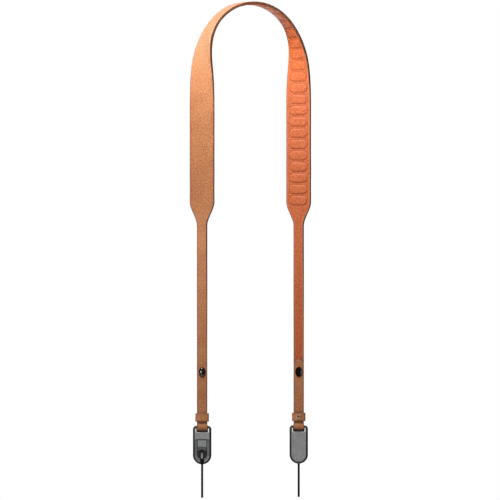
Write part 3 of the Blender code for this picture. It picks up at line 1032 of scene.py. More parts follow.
@dataclass(frozen=True)
class Pads:
    """The row of raised lozenges on the lining."""

    pitch: float = 0.01465
    width: float = 0.0243
    length: float = 0.0117
    height: float = 0.0009
    foot: float = 0.88
    shoulder: float = 0.0026
    line_width: float = 0.0005
    line_depth: float = 0.00030
    each_side: int = 20

    def inside(self, across: float, along: float) -> float:
        """How far a point of the flat pattern is inside the nearest lozenge.

        Args:
            across: its place across the band.
            along: its length from the top of the arch.

        Returns:
            The distance from the lozenge's outline, less than 0 outside it.
        """
        number = max(-self.each_side, min(self.each_side, round(along / self.pitch)))
        radius = 0.5 * self.length
        straight = 0.5 * self.width - radius
        return radius - math.hypot(max(abs(across) - straight, 0.0), along - number * self.pitch)

    def rise(self, across: float, along: float) -> float:
        """How high the padding stands at a point of the flat pattern.

        Args:
            across: its place across the band.
            along: its length from the top of the arch.

        Returns:
            The share of the padding's height.
        """
        inside = self.inside(across, along)
        share = min(max(inside / self.shoulder, 0.0), 1.0)
        crown = self.foot + (1.0 - self.foot) * smoothstep(inside / (0.5 * self.length))
        return math.sqrt(1.0 - (1.0 - share) ** 2) * crown

    def pressed(self, across: float, along: float) -> float:
        """How much of the pressed line round a lozenge's foot there is at a point, from 0 to 1."""
        return bell(self.inside(across, along) + 0.5 * self.line_width, self.line_width)


@dataclass(frozen=True)
class Fineness:
    """How finely a leather is meshed."""

    pad_rows: int
    leg_spacing: float
    middle_columns: int


@dataclass
class Band:
    """Both leathers of the band, cut flat, hung and dressed."""

    hang: Hang
    finishes: Finishes
    pads: Pads = Pads()
    outer_fineness: Fineness = Fineness(7, 0.0030, 34)
    lining_fineness: Fineness = Fineness(20, 0.0035, 44)
    wide_width: float = 0.033
    narrow_width: float = 0.0134
    wide_half_length: float = 0.2946
    taper_length: float = 0.0312
    meeting_gap: float = 0.00003
    edge_round: float = 0.00055
    edge_waves: Waves = Waves(0.00012, (45.0,), (0.0, 0.3, 0.0))
    calmer_ends: float = 0.6
    crown: float = 0.00022
    crease_inset: float = 0.0026
    crease_depth: float = 0.00030
    crease_width: float = 0.00042
    outer_waves: Waves = Waves(0.00010, (160.0, 60.0), (0.0, 0.0, 1.7))
    lining_waves: Waves = Waves(0.00008, (180.0, 70.0), (0.0, 0.0, 5.1))
    margin_stops: tuple[float, ...] = (0.0010, 0.0016, 0.0020, 0.0023, 0.0026, 0.0029, 0.0032, 0.0038)
    least_margin: float = 1.2
    corner_steps: int = 3
    back_columns: int = 4
    taper_spacing: float = 0.0012
    fold_spacing: float = 0.0005
    fold_margin: float = 0.001
    tip_rows: int = 16
    spare: float = 0.001
    fold_slack: float = 0.0011
    under_fold: float = 0.0026
    fold_flare: float = 0.0011
    flare_fade: float = 0.0052
    # where the keeper's edges cast lines of painted shade, and how dark each is
    keeper_shade_lines: tuple[tuple[float, float], ...] = ((0.0066, 0.75), (0.0186, 0.5))
    shade_line_width: float = 0.0006
    falloff_from: float = 0.12
    low_from: float = 0.46
    low_falloff: float = 0.45
    falloff_blend: float = 0.08
    sheen_to: float = 0.08
    sheen_blend: float = 0.07
    edge_reach: float = 1.05
    level_step: float = 0.00002
    sharp: float = 60.0

    def half_width(self, along: float) -> float:
        """Half of the band's width, with its unevenness and its flare at the fold.

        Args:
            along: the length from the top of the arch.

        Returns:
            The half width.
        """
        taper = ramp(abs(along), self.wide_half_length, self.taper_length)
        half = 0.5 * (self.wide_width + (self.narrow_width - self.wide_width) * taper)
        wander = self.edge_waves.at(along) * (1.0 - self.calmer_ends * taper)
        flare = 1.0 - ramp(self.from_fold(along), 0.0, self.hang.fold_reach + self.flare_fade)
        return half + wander + self.fold_flare * flare

    def wide(self, half: float) -> float:
        """How far half a width is from the narrow one, 0, to the wide one, 1."""
        return ramp(half, 0.5 * self.narrow_width, 0.5 * (self.wide_width - self.narrow_width))

    def rows(self, fineness: Fineness) -> list[tuple[float, float]]:
        """Rows of the flat pattern from tip to tip.

        Args:
            fineness: how finely the leather is meshed.

        Returns:
            For each row its length from the top of the arch, and how far round the tail's tip it is turned.
        """
        end = self.hang.line.length
        tip_start = end - 0.5 * self.narrow_width
        tail_start = end - self.hang.tail_length - self.fold_margin
        fold_start = tail_start - 2.0 * (self.hang.fold_reach + self.hang.spread_length)
        stops = [
            (0.0, self.pads.pitch / fineness.pad_rows),
            ((self.pads.each_side + 0.5) * self.pads.pitch, self.taper_spacing),
            (self.wide_half_length + self.taper_length, fineness.leg_spacing),
            (fold_start, self.fold_spacing),
            (tail_start + 2.0 * self.hang.spread_length, fineness.leg_spacing),
            (tip_start, fineness.leg_spacing),
        ]
        half: list[tuple[float, float]] = []
        for (start, spacing), (stop, _) in zip(stops, stops[1:]):
            count = max(1, math.ceil((stop - start) / spacing - self.spare))
            half += [(start + (stop - start) * i / count, 0.0) for i in range(1, count + 1)]
        half += [(tip_start, QUARTER * i / self.tip_rows) for i in range(1, self.tip_rows + 1)]
        return [(-along, turn) for along, turn in reversed(half)] + [(0.0, 0.0)] + half

    def section(self, half: float, middle_columns: int) -> list[tuple[float, float, bool]]:
        """Points all round a leather's cut section, from one side over its face and back on its back.

        Args:
            half: half of the band's width there.
            middle_columns: faces between the two margins.

        Returns:
            For each point its place across, how far it is rounded off below the face, and whether it is on
            the leather's back.
        """
        scale = 2.0 * half / self.wide_width
        edge = [(half - inward, off) for inward, off in rounding(self.edge_round, self.corner_steps)]
        edge += [(half - max(stop * scale, self.edge_round * self.least_margin), 0.0)
                 for stop in self.margin_stops]
        inner = edge[-1][0]
        middle = [(inner - 2.0 * inner * i / middle_columns, 0.0) for i in range(1, middle_columns)]
        face = edge + middle + [(-across, off) for across, off in reversed(edge)]
        back = [(-half + 2.0 * half * i / self.back_columns, 0.0, True) for i in range(self.back_columns + 1)]
        return [(across, off, False) for across, off in face] + back

    def from_fold(self, along: float) -> float:
        """Length from the middle of the nearest fold."""
        return abs(abs(along) - (self.hang.line.length - self.hang.tail_length - self.hang.fold_reach))

    def tanned(self, along: float, half: float) -> float:
        """Painted shade, from 0 to 1: none over the neck, more down the ends, standing in for the light
        falling off downwards.
        """
        low = self.low_falloff * (1.0 - self.wide(half)) * ramp(abs(along), self.low_from, self.falloff_blend)
        return self.wide(half) * ramp(abs(along), self.falloff_from, self.falloff_blend) + low

    def rubbed(self, along: float) -> float:
        """Painted shade: how dark the leather is painted under the fold and by the keeper's edges, where
        shade falls.

        Args:
            along: the length from the top of the arch.

        Returns:
            The darkness, from 0 to 1.
        """
        away = self.from_fold(along)
        under = 1.0 - ramp(away, self.under_fold, self.under_fold)
        by_keeper = max(strength * bell(away - self.hang.fold_reach - height, self.shade_line_width)
                        for height, strength in self.keeper_shade_lines)
        return max(under, by_keeper)

    def face_level(self, across: float, along: float, half: float) -> float:
        """How far the outer face stands from the middle surface.

        Args:
            across: the place across the band.
            along: the length from the top of the arch.
            half: half of the band's width there.

        Returns:
            The distance.
        """
        crown = self.crown * (1.0 - (across / half) ** 2)
        slack = self.fold_slack * (1.0 - ramp(self.from_fold(along), 0.0, self.hang.fold_reach))
        by_crease = bell(half - abs(across) - self.crease_inset, self.crease_width)
        waves = self.outer_waves.at(across, along)
        return self.hang.side + crown + waves + slack - self.crease_depth * self.wide(half) * by_crease

    def lining_level(self, across: float, along: float, half: float) -> float:
        """How far the lining's face stands from the middle surface, whatever half the width is."""
        return (self.hang.side + self.lining_waves.at(across, along)
                + self.pads.height * self.pads.rise(across, along)
                - self.pads.line_depth * self.pads.pressed(across, along))

    def outer_marks(self, across: float, along: float, half: float) -> dict[str, float]:
        """What the outer leather's finish reads at a point, by name: its edge, and where painted shade and
        painted sheen go.
        """
        return {"edge": half - abs(across), "rubbed": self.rubbed(along), "tanned": self.tanned(along, half),
                "pale": 1.0 - ramp(abs(along), self.sheen_to, self.sheen_blend)}

    def lining_marks(self, across: float, along: float, half: float) -> dict[str, float]:
        """What the lining's finish reads at a point, by name."""
        return {"edge": half - abs(across), "relief": self.pads.rise(across, along),
                "pressed": self.pads.pressed(across, along)}

    def leather(self, facing: float, fineness: Fineness, level: Callable[[float, float, float], float],
                marks: Callable[[float, float, float], dict[str, float]]) -> Mesh:
        """One leather, hung.

        Args:
            facing: 1 for the outer leather and -1 for the lining.
            fineness: how finely it is meshed.
            level: height of its face from the middle surface, by place across, along and half the width.
            marks: what its finish reads, by the same three.

        Returns:
            The closed leather, which carries its flat place and its marks.
        """
        rows = self.rows(fineness)
        halves = [self.half_width(along) for along, _ in rows]
        sections = [self.section(half, fineness.middle_columns) for half in halves]
        stations = [self.hang.station(along) for along, _ in rows]
        bm = bmesh.new()
        flat_layer = bm.verts.layers.float_vector.new("flat")
        layers = {name: bm.verts.layers.float.new(name) for name in marks(0.0, 0.0, halves[0])}
        for vert, column, row in rolled(bm, len(sections[0]), len(rows) - 1):
            (along, turn), half, station = rows[row], halves[row], stations[row]
            across, off, on_back = sections[row][column]
            there = across
            if turn:
                along += math.copysign(abs(across) * math.sin(turn), along)
                there = across * math.cos(turn)
                station = self.hang.station(along)
            height = self.meeting_gap if on_back else level(across, along, half) - off
            vert[flat_layer] = (there, along, facing * height)
            for name, mark in marks(across, along, half).items():
                vert[layers[name]] = mark
            vert.co = station.at(there, facing * height)
        for face in bm.faces:
            insets = [vert[layers["edge"]] for vert in face.verts]
            heights = [abs(vert[flat_layer][2]) for vert in face.verts]
            by_edge = max(insets) <= self.edge_reach * self.edge_round
            if by_edge and max(heights) - min(heights) > self.level_step:
                face.material_index = 1
        return sealed(bm)

    def build(self) -> None:
        """Make both leathers."""
        looks = self.finishes
        leathers = (
            ("outer_leather", "outer", looks.outer,
             self.leather(1.0, self.outer_fineness, self.face_level, self.outer_marks)),
            ("padded_lining", "lining", looks.lining,
             self.leather(-1.0, self.lining_fineness, self.lining_level, self.lining_marks)),
        )
        for name, part, finish, bm in leathers:
            role = Role("strap", f"{part}_leather", (f"strap_{part}",))
            add_piece(name, bm, role, [finish, looks.paint], self.sharp)


# Studs and keepers

@dataclass
class Stud:
    """A domed head on the outer face and a flat cap on the tail."""

    side: Side
    hang: Hang
    finishes: Finishes
    above_bar: float = 0.0714
    length: float = 0.0134
    width: float = 0.0092
    flange: float = 0.0006
    dome_inset: float = 0.0006
    dome_height: float = 0.0022
    cap_height: float = 0.0011
    cap_round: float = 0.0005
    dish_depth: float = 0.00018
    dish_inset: float = 0.0014
    flange_round: float = 0.00018
    flange_chamfer: float = 0.3
    dish_stops: tuple[tuple[float, float], ...] = ((0.0, 1.0), (0.80, 1.0), (0.94, 0.8), (1.0, 0.0))
    dome_steps: int = 14
    round_steps: int = 6
    sides: int = 64
    sharp: float = 40.0

    @property
    def radius(self) -> float:
        """Half of its length."""
        return 0.5 * self.length

    @property
    def seat(self) -> float:
        """From the middle between leg and tail to the leather's face under the stud."""
        return self.hang.leg_offset + self.hang.side

    def head_profile(self) -> Outline:
        """The head's profile, from the top of the dome to its underside."""
        dome, edge = self.radius - self.dome_inset, self.flange_round
        angles = [QUARTER * i / self.dome_steps for i in range(self.dome_steps + 1)]
        profile = [(dome * math.sin(angle), self.flange + self.dome_height * math.cos(angle))
                   for angle in angles]
        return profile + [
            (self.radius - edge, self.flange),
            (self.radius - self.flange_chamfer * edge, self.flange - self.flange_chamfer * edge),
            (self.radius, self.flange - edge),
            (self.radius, 0.0),
            (0.0, 0.0),
        ]

    def cap_profile(self) -> Outline:
        """The cap's profile, from its middle to its underside."""
        dish, corner = self.radius - self.dish_inset, self.cap_round
        profile = [(reach * dish, self.cap_height - depth * self.dish_depth)
                   for reach, depth in self.dish_stops]
        profile += arc((self.radius - corner, self.cap_height - corner), corner, 90.0, 0.0, self.round_steps)
        return profile + [(self.radius, 0.0), (0.0, 0.0)]

    def build(self) -> None:
        """Make the head and the cap."""
        parts = (("head", self.head_profile(), 1.0, self.finishes.metal),
                 ("cap", self.cap_profile(), -1.0, self.finishes.cap))
        for label, profile, front, metal in parts:
            name = f"{self.side.value}_stud_{label}"
            bm = turned(profile, self.sides)
            shape = Matrix.Diagonal((self.width / self.length, 1.0, 1.0, 1.0))
            stand = Matrix.Rotation(-QUARTER * front, 4, "X")
            lift = Matrix.Translation((0.0, front * self.seat, self.above_bar))
            bmesh.ops.transform(bm, matrix=lift @ stand @ shape, verts=bm.verts)
            role = Role("strap", "stud_metal", (name,))
            add_piece(f"{name}_plated", self.side.put(bm, self.hang), role, [metal], self.sharp)


@dataclass
class Keeper:
    """A leather loop round leg and tail, closed with crossed stitches on the tail's side."""

    side: Side
    hang: Hang
    finishes: Finishes
    band_width: float = Band.narrow_width
    height: float = 0.0108
    wall: float = 0.0018
    corner: float = 0.0007
    edge_round: float = 0.00045
    edge_reach: float = 1.01
    bulge: float = 0.0006
    seam_depth: float = 0.00032
    seam_width: float = 0.00035
    waves: Waves = Waves(0.00008, (300.0, 300.0, 200.0), (0.0, 0.0, 0.0))
    long_steps: int = 44
    short_steps: int = 10
    corner_steps: int = 6
    round_steps: int = 4
    wall_steps: int = 8
    flat_normal: float = 0.99
    stitch_reach: float = 0.0039
    stitch_rise: float = 0.0018
    stitch_radius: float = 0.00052
    stitch_sink: float = 0.3
    stitch_lifts: tuple[tuple[float, float], ...] = ((1.0, 0.6), (-1.0, 1.9))
    stitch_apart: float = 1.25
    stitch_dip: float = 2.6
    stitch_dip_from: float = 0.72
    stitch_dip_power: float = 0.8
    stitch_points: int = 6
    stitch_spacing: float = 0.00018
    stitch_sides: int = 14
    thread_twist: float = 0.0013
    thread_plies: int = 3
    sharp: float = 60.0

    @property
    def half_x(self) -> float:
        """Half of the loop's inner width."""
        return 0.5 * self.band_width + self.hang.gap

    @property
    def half_y(self) -> float:
        """Half of the loop's inner depth."""
        return self.hang.leg_offset + self.hang.side + 0.5 * self.hang.gap

    @property
    def low(self) -> float:
        """Its low edge, above the bar's axis."""
        return self.hang.spread_length + self.hang.gap

    def path(self) -> list[tuple[Vector, Vector]]:
        """Points round the inner face, each with its way out."""
        points = []
        flat_x, flat_y = self.half_x - self.corner, self.half_y - self.corner
        quarters = ((1, 1, self.long_steps), (-1, 1, self.short_steps), (-1, -1, self.long_steps),
                    (1, -1, self.short_steps))
        for index, (sign_x, sign_y, steps) in enumerate(quarters):
            middle = Vector((sign_x * flat_x, sign_y * flat_y))
            for i in range(self.corner_steps + 1):
                angle = QUARTER * (index + i / self.corner_steps)
                out = Vector((math.cos(angle), math.sin(angle)))
                points.append((middle + out * self.corner, out))
            next_x, next_y = quarters[(index + 1) % 4][:2]
            there = Vector((next_x * flat_x, next_y * flat_y)) + out * self.corner
            here = points[-1][0]
            points += [(here.lerp(there, i / steps), out) for i in range(1, steps)]
        return points

    def section(self) -> Outline:
        """Points round the wall's cut section: distance out of the inner face, and height."""
        r, low, high = self.edge_round, self.edge_round, self.height - self.edge_round
        corners = ((self.wall - r, high), (r, high), (r, low), (self.wall - r, low))
        rise = [(self.wall, low + (high - low) * i / self.wall_steps) for i in range(1, self.wall_steps)]
        return round_corners(corners, r, self.round_steps) + rise

    def swell(self, x: float, y: float) -> float:
        """How far the outer face swells, or sinks at the seam, by its place round the loop."""
        seam = self.seam_depth * bell(x, self.seam_width) if y < 0.0 else 0.0
        return self.bulge * (1.0 - min(abs(x) / self.half_x, 1.0) ** 2) - seam

    def loop(self) -> Mesh:
        """The loop of leather."""
        path, section = self.path(), self.section()
        lengths = MeasuredLine([Vector((*point, 0.0)) for point, _ in path + path[:1]]).lengths
        bm = bmesh.new()
        flat_layer = bm.verts.layers.float_vector.new("flat")
        edge_layer = bm.verts.layers.float.new("edge")
        for vert, column, row in rolled(bm, len(path), len(section)):
            point, out = path[column]
            reach, rise = section[row % len(section)]
            swell = self.swell(point.x, point.y) if abs(out.y) > self.flat_normal else 0.0
            swell += self.waves.at(point.x, point.y, rise)
            place = point + out * (reach + swell * reach / self.wall)
            vert[flat_layer] = (rise, lengths[column], reach)
            vert[edge_layer] = min(rise, self.height - rise)
            vert.co = (place.x, place.y, self.low + rise)
        for face in bm.faces:
            if max(vert[edge_layer] for vert in face.verts) <= self.edge_round * self.edge_reach:
                face.material_index = 1
        return sealed(bm)

    def ply(self, angle: float, along: float) -> float:
        """Relief of the thread's twisted strands."""
        return abs(math.cos(0.5 * self.thread_plies * angle + math.pi * along / self.thread_twist))

    def stitch(self, slant: float, lift: float, place: float) -> Mesh:
        """One thread over the seam, with its ends down in the leather.

        Args:
            slant: which way it slants, 1 or -1.
            lift: how high its middle is lifted, in the thread's own radius.
            place: how far above the keeper's middle it is, in the rise of half a stitch.

        Returns:
            The thread.
        """
        middle = self.low + 0.5 * self.height
        face = -(self.half_y + self.wall)
        points = []
        for i in range(-self.stitch_points, self.stitch_points + 1):
            share = i / self.stitch_points
            x = share * self.stitch_reach
            dip = self.stitch_dip * max(abs(share) - self.stitch_dip_from, 0.0) ** self.stitch_dip_power
            stand = self.stitch_radius * (lift * (1.0 - share ** 2) - dip - self.stitch_sink)
            y = face - self.bulge * (1.0 - (x / self.half_x) ** 2) - stand
            points.append(Vector((x, y, middle + (slant * share + place) * self.stitch_rise)))
        path = even_path(points, self.stitch_spacing)
        return tube(path, self.stitch_radius, self.stitch_sides, Vector((0.0, 1.0, 0.0)), self.ply)

    def stitches(self) -> Mesh:
        """Two crosses of thread, one above the other."""
        return merged(self.stitch(slant, lift, place) for place in (-self.stitch_apart, self.stitch_apart)
                      for slant, lift in self.stitch_lifts)

    def build(self) -> None:
        """Make the loop and its stitches."""
        name, looks = f"{self.side.value}_keeper", self.finishes
        parts = (("loop", self.loop(), (name,), [looks.outer, looks.paint]),
                 ("stitches", self.stitches(), (), [looks.thread]))
        for label, bm, stands_for, materials in parts:
            role = Role("strap", "keeper_leather", stands_for)
            add_piece(f"{name}_{label}", self.side.put(bm, self.hang), role, materials, self.sharp)


# Connectors

@dataclass
class Connector:
    """A quick-release connector: shell, button, anchor and cord loop."""

    side: Side
    hang: Hang
    finishes: Finishes
    width: float = 0.024
    depth: float = 0.009
    top: float = 0.0022
    length: float = 0.0504
    corner: float = 0.005
    edge_round: float = 0.0026
    rim_width: float = 0.0027
    slot_width: float = 0.017
    slot_floor: float = 0.0070
    slot_corner: float = 0.0010
    slot_flare: float = 0.0008
    bar_seat: float = 0.0006
    field_top: float = 0.0154
    field_width: float = 0.0184
    field_depth: float = 0.0009
    field_flare: float = 0.0004
    field_corner: float = 0.0022
    track_wall: float = 0.0030
    track_corner: float = 0.0015
    track_flare: float = 0.0006
    panel_half: float = 0.0070
    panel_top: float = 0.0118
    panel_foot: float = 0.0400
    panel_corner: float = 0.0018
    panel_depth: float = 0.00015
    panel_flare: float = 0.00025
    anchor_drop: float = 0.0350
    anchor_radius: float = 0.0057
    anchor_thickness: float = 0.0026
    anchor_round: float = 0.0007
    anchor_clearance: float = 0.0004
    anchor_dish: tuple[tuple[float, float], ...] = ((0.0, 0.0002), (0.55, 0.0001))
    anchor_sides: int = 64
    anchor_steps: int = 6
    ridge_width: float = 0.0036
    ridge_wall: float = 0.0012
    ridge_power: float = 0.7
    ridge_layers: int = 11
    ridge_steps: int = 20
    glint_depth: float = 0.0009
    glint_reach: float = 0.0040
    glint_half: float = 0.0013
    button_top: float = 0.0170
    button_foot: float = 0.0310
    button_thickness: float = 0.0042
    button_recess: float = 0.0002
    button_clearance: float = 0.00035
    button_gap: float = 0.00045
    button_corner: float = 0.0012
    button_round: float = 0.0003
    button_steps: int = 4
    button_curve_steps: int = 24
    lip_top: float = 0.0254
    lip_fall: float = 0.0022
    lip_slope: float = 58.0
    lip_steps: int = 8
    lip_normal: float = 0.3
    grip_columns: int = 11
    grip_rows: int = 7
    grip_rise: float = 0.00016
    grip_margin: float = 0.0008
    grip_foot_margin: float = 0.00032
    grip_lift: float = 0.00002
    grip_groove: float = 0.00014
    grip_bevel: float = 0.00010
    grip_skirt: float = 0.0002
    cord_diameter: float = 0.0028
    cord_spacing: float = 0.0002
    cord_sides: int = 36
    braid_strands: int = 6
    braid_pitch: float = 0.0015
    notch_clearance: float = 0.0010
    notch_corner: float = 0.0004
    notch_flare: float = 0.0005
    margin: float = 0.002
    tolerance: float = 0.0001
    track_slack: float = 0.0003
    flat_normal: float = 0.999
    steep_normal: float = 0.75
    round_steps: int = 48
    corner_steps: int = 8
    fillet_steps: int = 8
    flare_steps: int = 5
    bar_sides: int = 40
    shell_sharp: float = 30.0
    anchor_sharp: float = 35.0
    cord_sharp: float = 80.0
    cord_route: tuple[tuple[float, float], ...] = (
        (0.00290, 0.04100), (0.00290, 0.04500), (0.00293, 0.04900), (0.00315, 0.05400),
        (0.00365, 0.06000), (0.00440, 0.06600), (0.00530, 0.07200), (0.00620, 0.07750),
        (0.00685, 0.08180), (0.00700, 0.08490), (0.00626, 0.08765), (0.00425, 0.08966),
        (0.00150, 0.09040), (-0.00125, 0.08966), (-0.00326, 0.08765), (-0.00400, 0.08490),
        (-0.00385, 0.08180), (-0.00320, 0.07750), (-0.00230, 0.07200), (-0.00140, 0.06600),
        (-0.00065, 0.06000), (-0.00015, 0.05400), (0.00007, 0.04900), (0.00010, 0.04500),
        (0.00010, 0.04100),
    )

    @property
    def front(self) -> float:
        """The shell's front face."""
        return 0.5 * self.depth

    @property
    def track_floor(self) -> float:
        """The floor of the track that holds button and anchor."""
        return self.track_wall - self.front

    @property
    def field_floor(self) -> float:
        """The floor of the shallow field on the front."""
        return self.front - self.field_depth

    @property
    def round_middle(self) -> float:
        """The height of the middle of the shell's round foot."""
        return self.top - self.length + 0.5 * self.width

    @property
    def anchor_back(self) -> float:
        """The anchor's back face."""
        return self.track_floor + self.hang.gap

    @property
    def button_face(self) -> float:
        """The button's front face."""
        return self.front - self.button_recess

    @property
    def button_half(self) -> float:
        """Half of the button's width."""
        return self.track_radius - self.button_gap

    @property
    def track_radius(self) -> float:
        """Half of the track's width."""
        return self.anchor_radius + self.anchor_clearance

    def slot_outline(self, half: float, top: float, middle: float, corner: float, grow: float) -> Outline:
        """Round top corners and straight sides over a foot that is round about a middle, grown outwards."""
        corners = round_corners(((half - corner, top - corner), (corner - half, top - corner)), corner + grow,
                                self.corner_steps)
        return corners + arc((0.0, middle), half + grow, 180.0, 360.0, self.round_steps)

    def box_outline(self, half: float, top: float, foot: float, corner: float, grow: float) -> Outline:
        """A box with round corners, grown outwards."""
        x, high, low = half - corner, top - corner, foot + corner
        return round_corners(((x, high), (-x, high), (-x, low), (x, low)), corner + grow, self.corner_steps)

    def mouth(self, outline: Callable[[float], Outline], face: float, flare: float) -> Layers:
        """Layers of a cutter that widens towards a face and goes past it, for a hole with a rounded rim."""
        layers = [(outline(grow), face - sink) for grow, sink in rounding(flare, self.flare_steps)]
        return layers + [(outline(flare), face + self.margin)]

    def pocket(self, outline: Callable[[float], Outline], floor: float, face: float, flare: float) -> Mesh:
        """The cutter of a hole from its floor to the face that it opens in, with a rounded rim."""
        return stack([(outline(0.0), floor)] + self.mouth(outline, face, flare))

    def shell_blank(self) -> Mesh:
        """The shell before its cuts, with rounded edges front and back."""
        half, middle = 0.5 * self.width, self.round_middle
        layers = [(self.slot_outline(half, self.top, middle, self.corner, -shrink), lift - self.front)
                  for lift, shrink in rounding(self.edge_round, self.fillet_steps)]
        return stack(layers + [(outline, -depth) for outline, depth in reversed(layers)])

    def slot_form(self, grow: float) -> Outline:
        """The opening that the fold goes through, open at the top."""
        top = self.top + self.margin + self.slot_corner
        return self.box_outline(0.5 * self.slot_width, top, -self.slot_floor, self.slot_corner, grow)

    def field_form(self, grow: float) -> Outline:
        """The shallow field on the front."""
        half = 0.5 * self.field_width
        return self.slot_outline(half, -self.field_top, -self.anchor_drop, self.field_corner, grow)

    def track_form(self, grow: float) -> Outline:
        """The track that holds button and anchor."""
        top = self.hang.gap - self.button_top
        return self.slot_outline(self.track_radius, top, -self.anchor_drop, self.track_corner, grow)

    def notch_form(self, grow: float) -> Outline:
        """The notch that the cord leaves by, open at the bottom."""
        half, foot = 0.5 * self.cord_diameter + self.notch_clearance, self.top - self.length - self.margin
        return self.box_outline(half, -self.anchor_drop, foot, self.notch_corner, grow)

    def panel(self) -> Mesh:
        """The cutter of the plain sunk panel on the back."""
        box = (self.panel_half, -self.panel_top, -self.panel_foot, self.panel_corner)
        layers = ((self.panel_flare, -self.margin), (self.panel_flare, 0.0), (0.0, self.panel_depth))
        return stack([(self.box_outline(*box, grow), depth - self.front) for grow, depth in layers])

    def bar(self) -> Mesh:
        """The bar that the strap folds round."""
        bm = bmesh.new()
        radius, length = self.hang.bar_radius, self.slot_width + 2.0 * self.bar_seat
        bmesh.ops.create_cone(bm, cap_ends=True, segments=self.bar_sides, radius1=radius, radius2=radius,
                              depth=length)
        bmesh.ops.transform(bm, matrix=Matrix.Rotation(QUARTER, 4, "Y"), verts=bm.verts)
        return bm

    def shell(self) -> Mesh:
        """The shell with its slot, field, track, cord notch, back panel and bar."""
        slot = self.mouth(self.slot_form, self.front, self.slot_flare)
        floor = self.field_floor
        return carve(self.shell_blank(), [
            (Carve.REMOVE, stack([(outline, -depth) for outline, depth in reversed(slot)] + slot)),
            (Carve.REMOVE, self.pocket(self.field_form, floor, self.front, self.field_flare)),
            (Carve.REMOVE, self.pocket(self.track_form, self.track_floor, floor, self.track_flare)),
            (Carve.REMOVE, self.pocket(self.notch_form, self.track_floor, self.front, self.notch_flare)),
            (Carve.REMOVE, self.panel()),
            (Carve.JOIN, self.bar()),
        ])

    def lip_scoop(self) -> Mesh:
        """The cutter of the hollow for a thumb below the button's grip."""
        slope = math.radians(self.lip_slope)
        radius = self.lip_fall / (1.0 - math.cos(slope))
        low, out = self.button_face - self.lip_fall, self.button_face + self.margin
        start = -self.lip_top - radius * math.sin(slope)
        profile = arc((low + radius, start), radius, 180.0 - self.lip_slope, 180.0, self.lip_steps)
        profile += [(low, -self.anchor_drop), (out, -self.anchor_drop), (out, profile[0][1])]
        bm = stack([(profile, -self.width), (profile, self.width)])
        bmesh.ops.rotate(bm, cent=(0.0, 0.0, 0.0), matrix=Matrix.Rotation(QUARTER, 3, "Z"), verts=bm.verts)
        return bm

    def rim_inset(self, x: float, z: float) -> float:
        """How far inside the shell's outline a point is.

        Args:
            x: its place across.
            z: its height.

        Returns:
            The distance from the outline.
        """
        half, corner, middle = 0.5 * self.width, self.corner, self.round_middle
        if z < middle:
            return half - math.hypot(x, z - middle)
        over_x, over_z = max(abs(x) - (half - corner), 0.0), max(z - (self.top - corner), 0.0)
        if over_x > 0.0 and over_z > 0.0:
            return corner - math.hypot(over_x, over_z)
        return min(half - abs(x), self.top - z)

    def dressed_shell(self) -> Mesh:
        """The shell with painted shade: its rounded rim, turned from the light, and its slot floor and track
        in a near-black plastic, and its sunk field floor in a darker grey.
        """
        bm = self.shell()
        floor = self.field_floor
        for face in bm.faces:
            x, y, z = face.calc_center_median()
            facing, low = abs(face.normal.y), z < -self.field_top
            rounded = self.rim_inset(x, z) < self.rim_width and facing < self.flat_normal
            in_slot = (abs(x) < 0.5 * self.slot_width and facing < self.steep_normal
                       and abs(z + self.slot_floor) < self.slot_flare)
            in_track = (abs(x) < self.track_radius + self.track_slack and low
                        and self.track_floor - self.tolerance < y < floor - self.tolerance)
            # painted shade: rim, slot floor and track near-black, field floor darker grey
            if rounded or in_slot or in_track:
                face.material_index = 1
            elif abs(y - floor) < self.tolerance and low:
                face.material_index = 2
        return bm

    def button_outline(self, shrink: float) -> Outline:
        """The button's outline, with a foot that curves round the anchor.

        Args:
            shrink: how far it is drawn in.

        Returns:
            The outline.
        """
        half, corner, foot = self.button_half, self.button_corner, -self.button_foot
        curve = self.anchor_radius + self.button_clearance
        angle = math.degrees(math.asin((self.anchor_drop - self.button_foot) / curve))
        centres = ((half - corner, -self.button_top - corner), (corner - half, -self.button_top - corner))
        points = round_corners(centres, corner - shrink, self.corner_steps) + [(shrink - half, foot + shrink)]
        points += arc((0.0, -self.anchor_drop), curve + shrink, 180.0 - angle, angle, self.button_curve_steps)
        return points + [(half - shrink, foot + shrink)]

    def grip(self) -> Mesh:
        """The raised grid on the button's thumb face."""
        bm = bmesh.new()
        bmesh.ops.create_grid(bm, x_segments=self.grip_columns, y_segments=self.grip_rows, size=1.0)
        reach = self.button_half - self.grip_margin
        top, foot = -self.button_top - self.grip_margin, -self.lip_top + self.grip_foot_margin
        for vert in bm.verts:
            height = 0.5 * (top + foot) + 0.5 * (top - foot) * vert.co.y
            vert.co = (vert.co.x * reach, self.button_face + self.grip_lift, height)
        sheet = bm.faces[:]
        bmesh.ops.recalc_face_normals(bm, faces=sheet)
        if sheet[0].normal.y < 0.0:
            bmesh.ops.reverse_faces(bm, faces=sheet)
        bmesh.ops.inset_individual(bm, faces=sheet, thickness=self.grip_groove, use_even_offset=True)
        bmesh.ops.inset_individual(bm, faces=sheet, thickness=self.grip_bevel, depth=self.grip_rise,
                                   use_even_offset=True)
        skirt = bmesh.ops.extrude_edge_only(bm, edges=[edge for edge in bm.edges if edge.is_boundary])["geom"]
        low = [item for item in skirt if isinstance(item, bmesh.types.BMVert)]
        bmesh.ops.translate(bm, verts=low, vec=(0.0, -self.grip_skirt, 0.0))
        bmesh.ops.holes_fill(bm, edges=[edge for edge in bm.edges if edge.is_boundary])
        bmesh.ops.recalc_face_normals(bm, faces=bm.faces[:])
        return bm

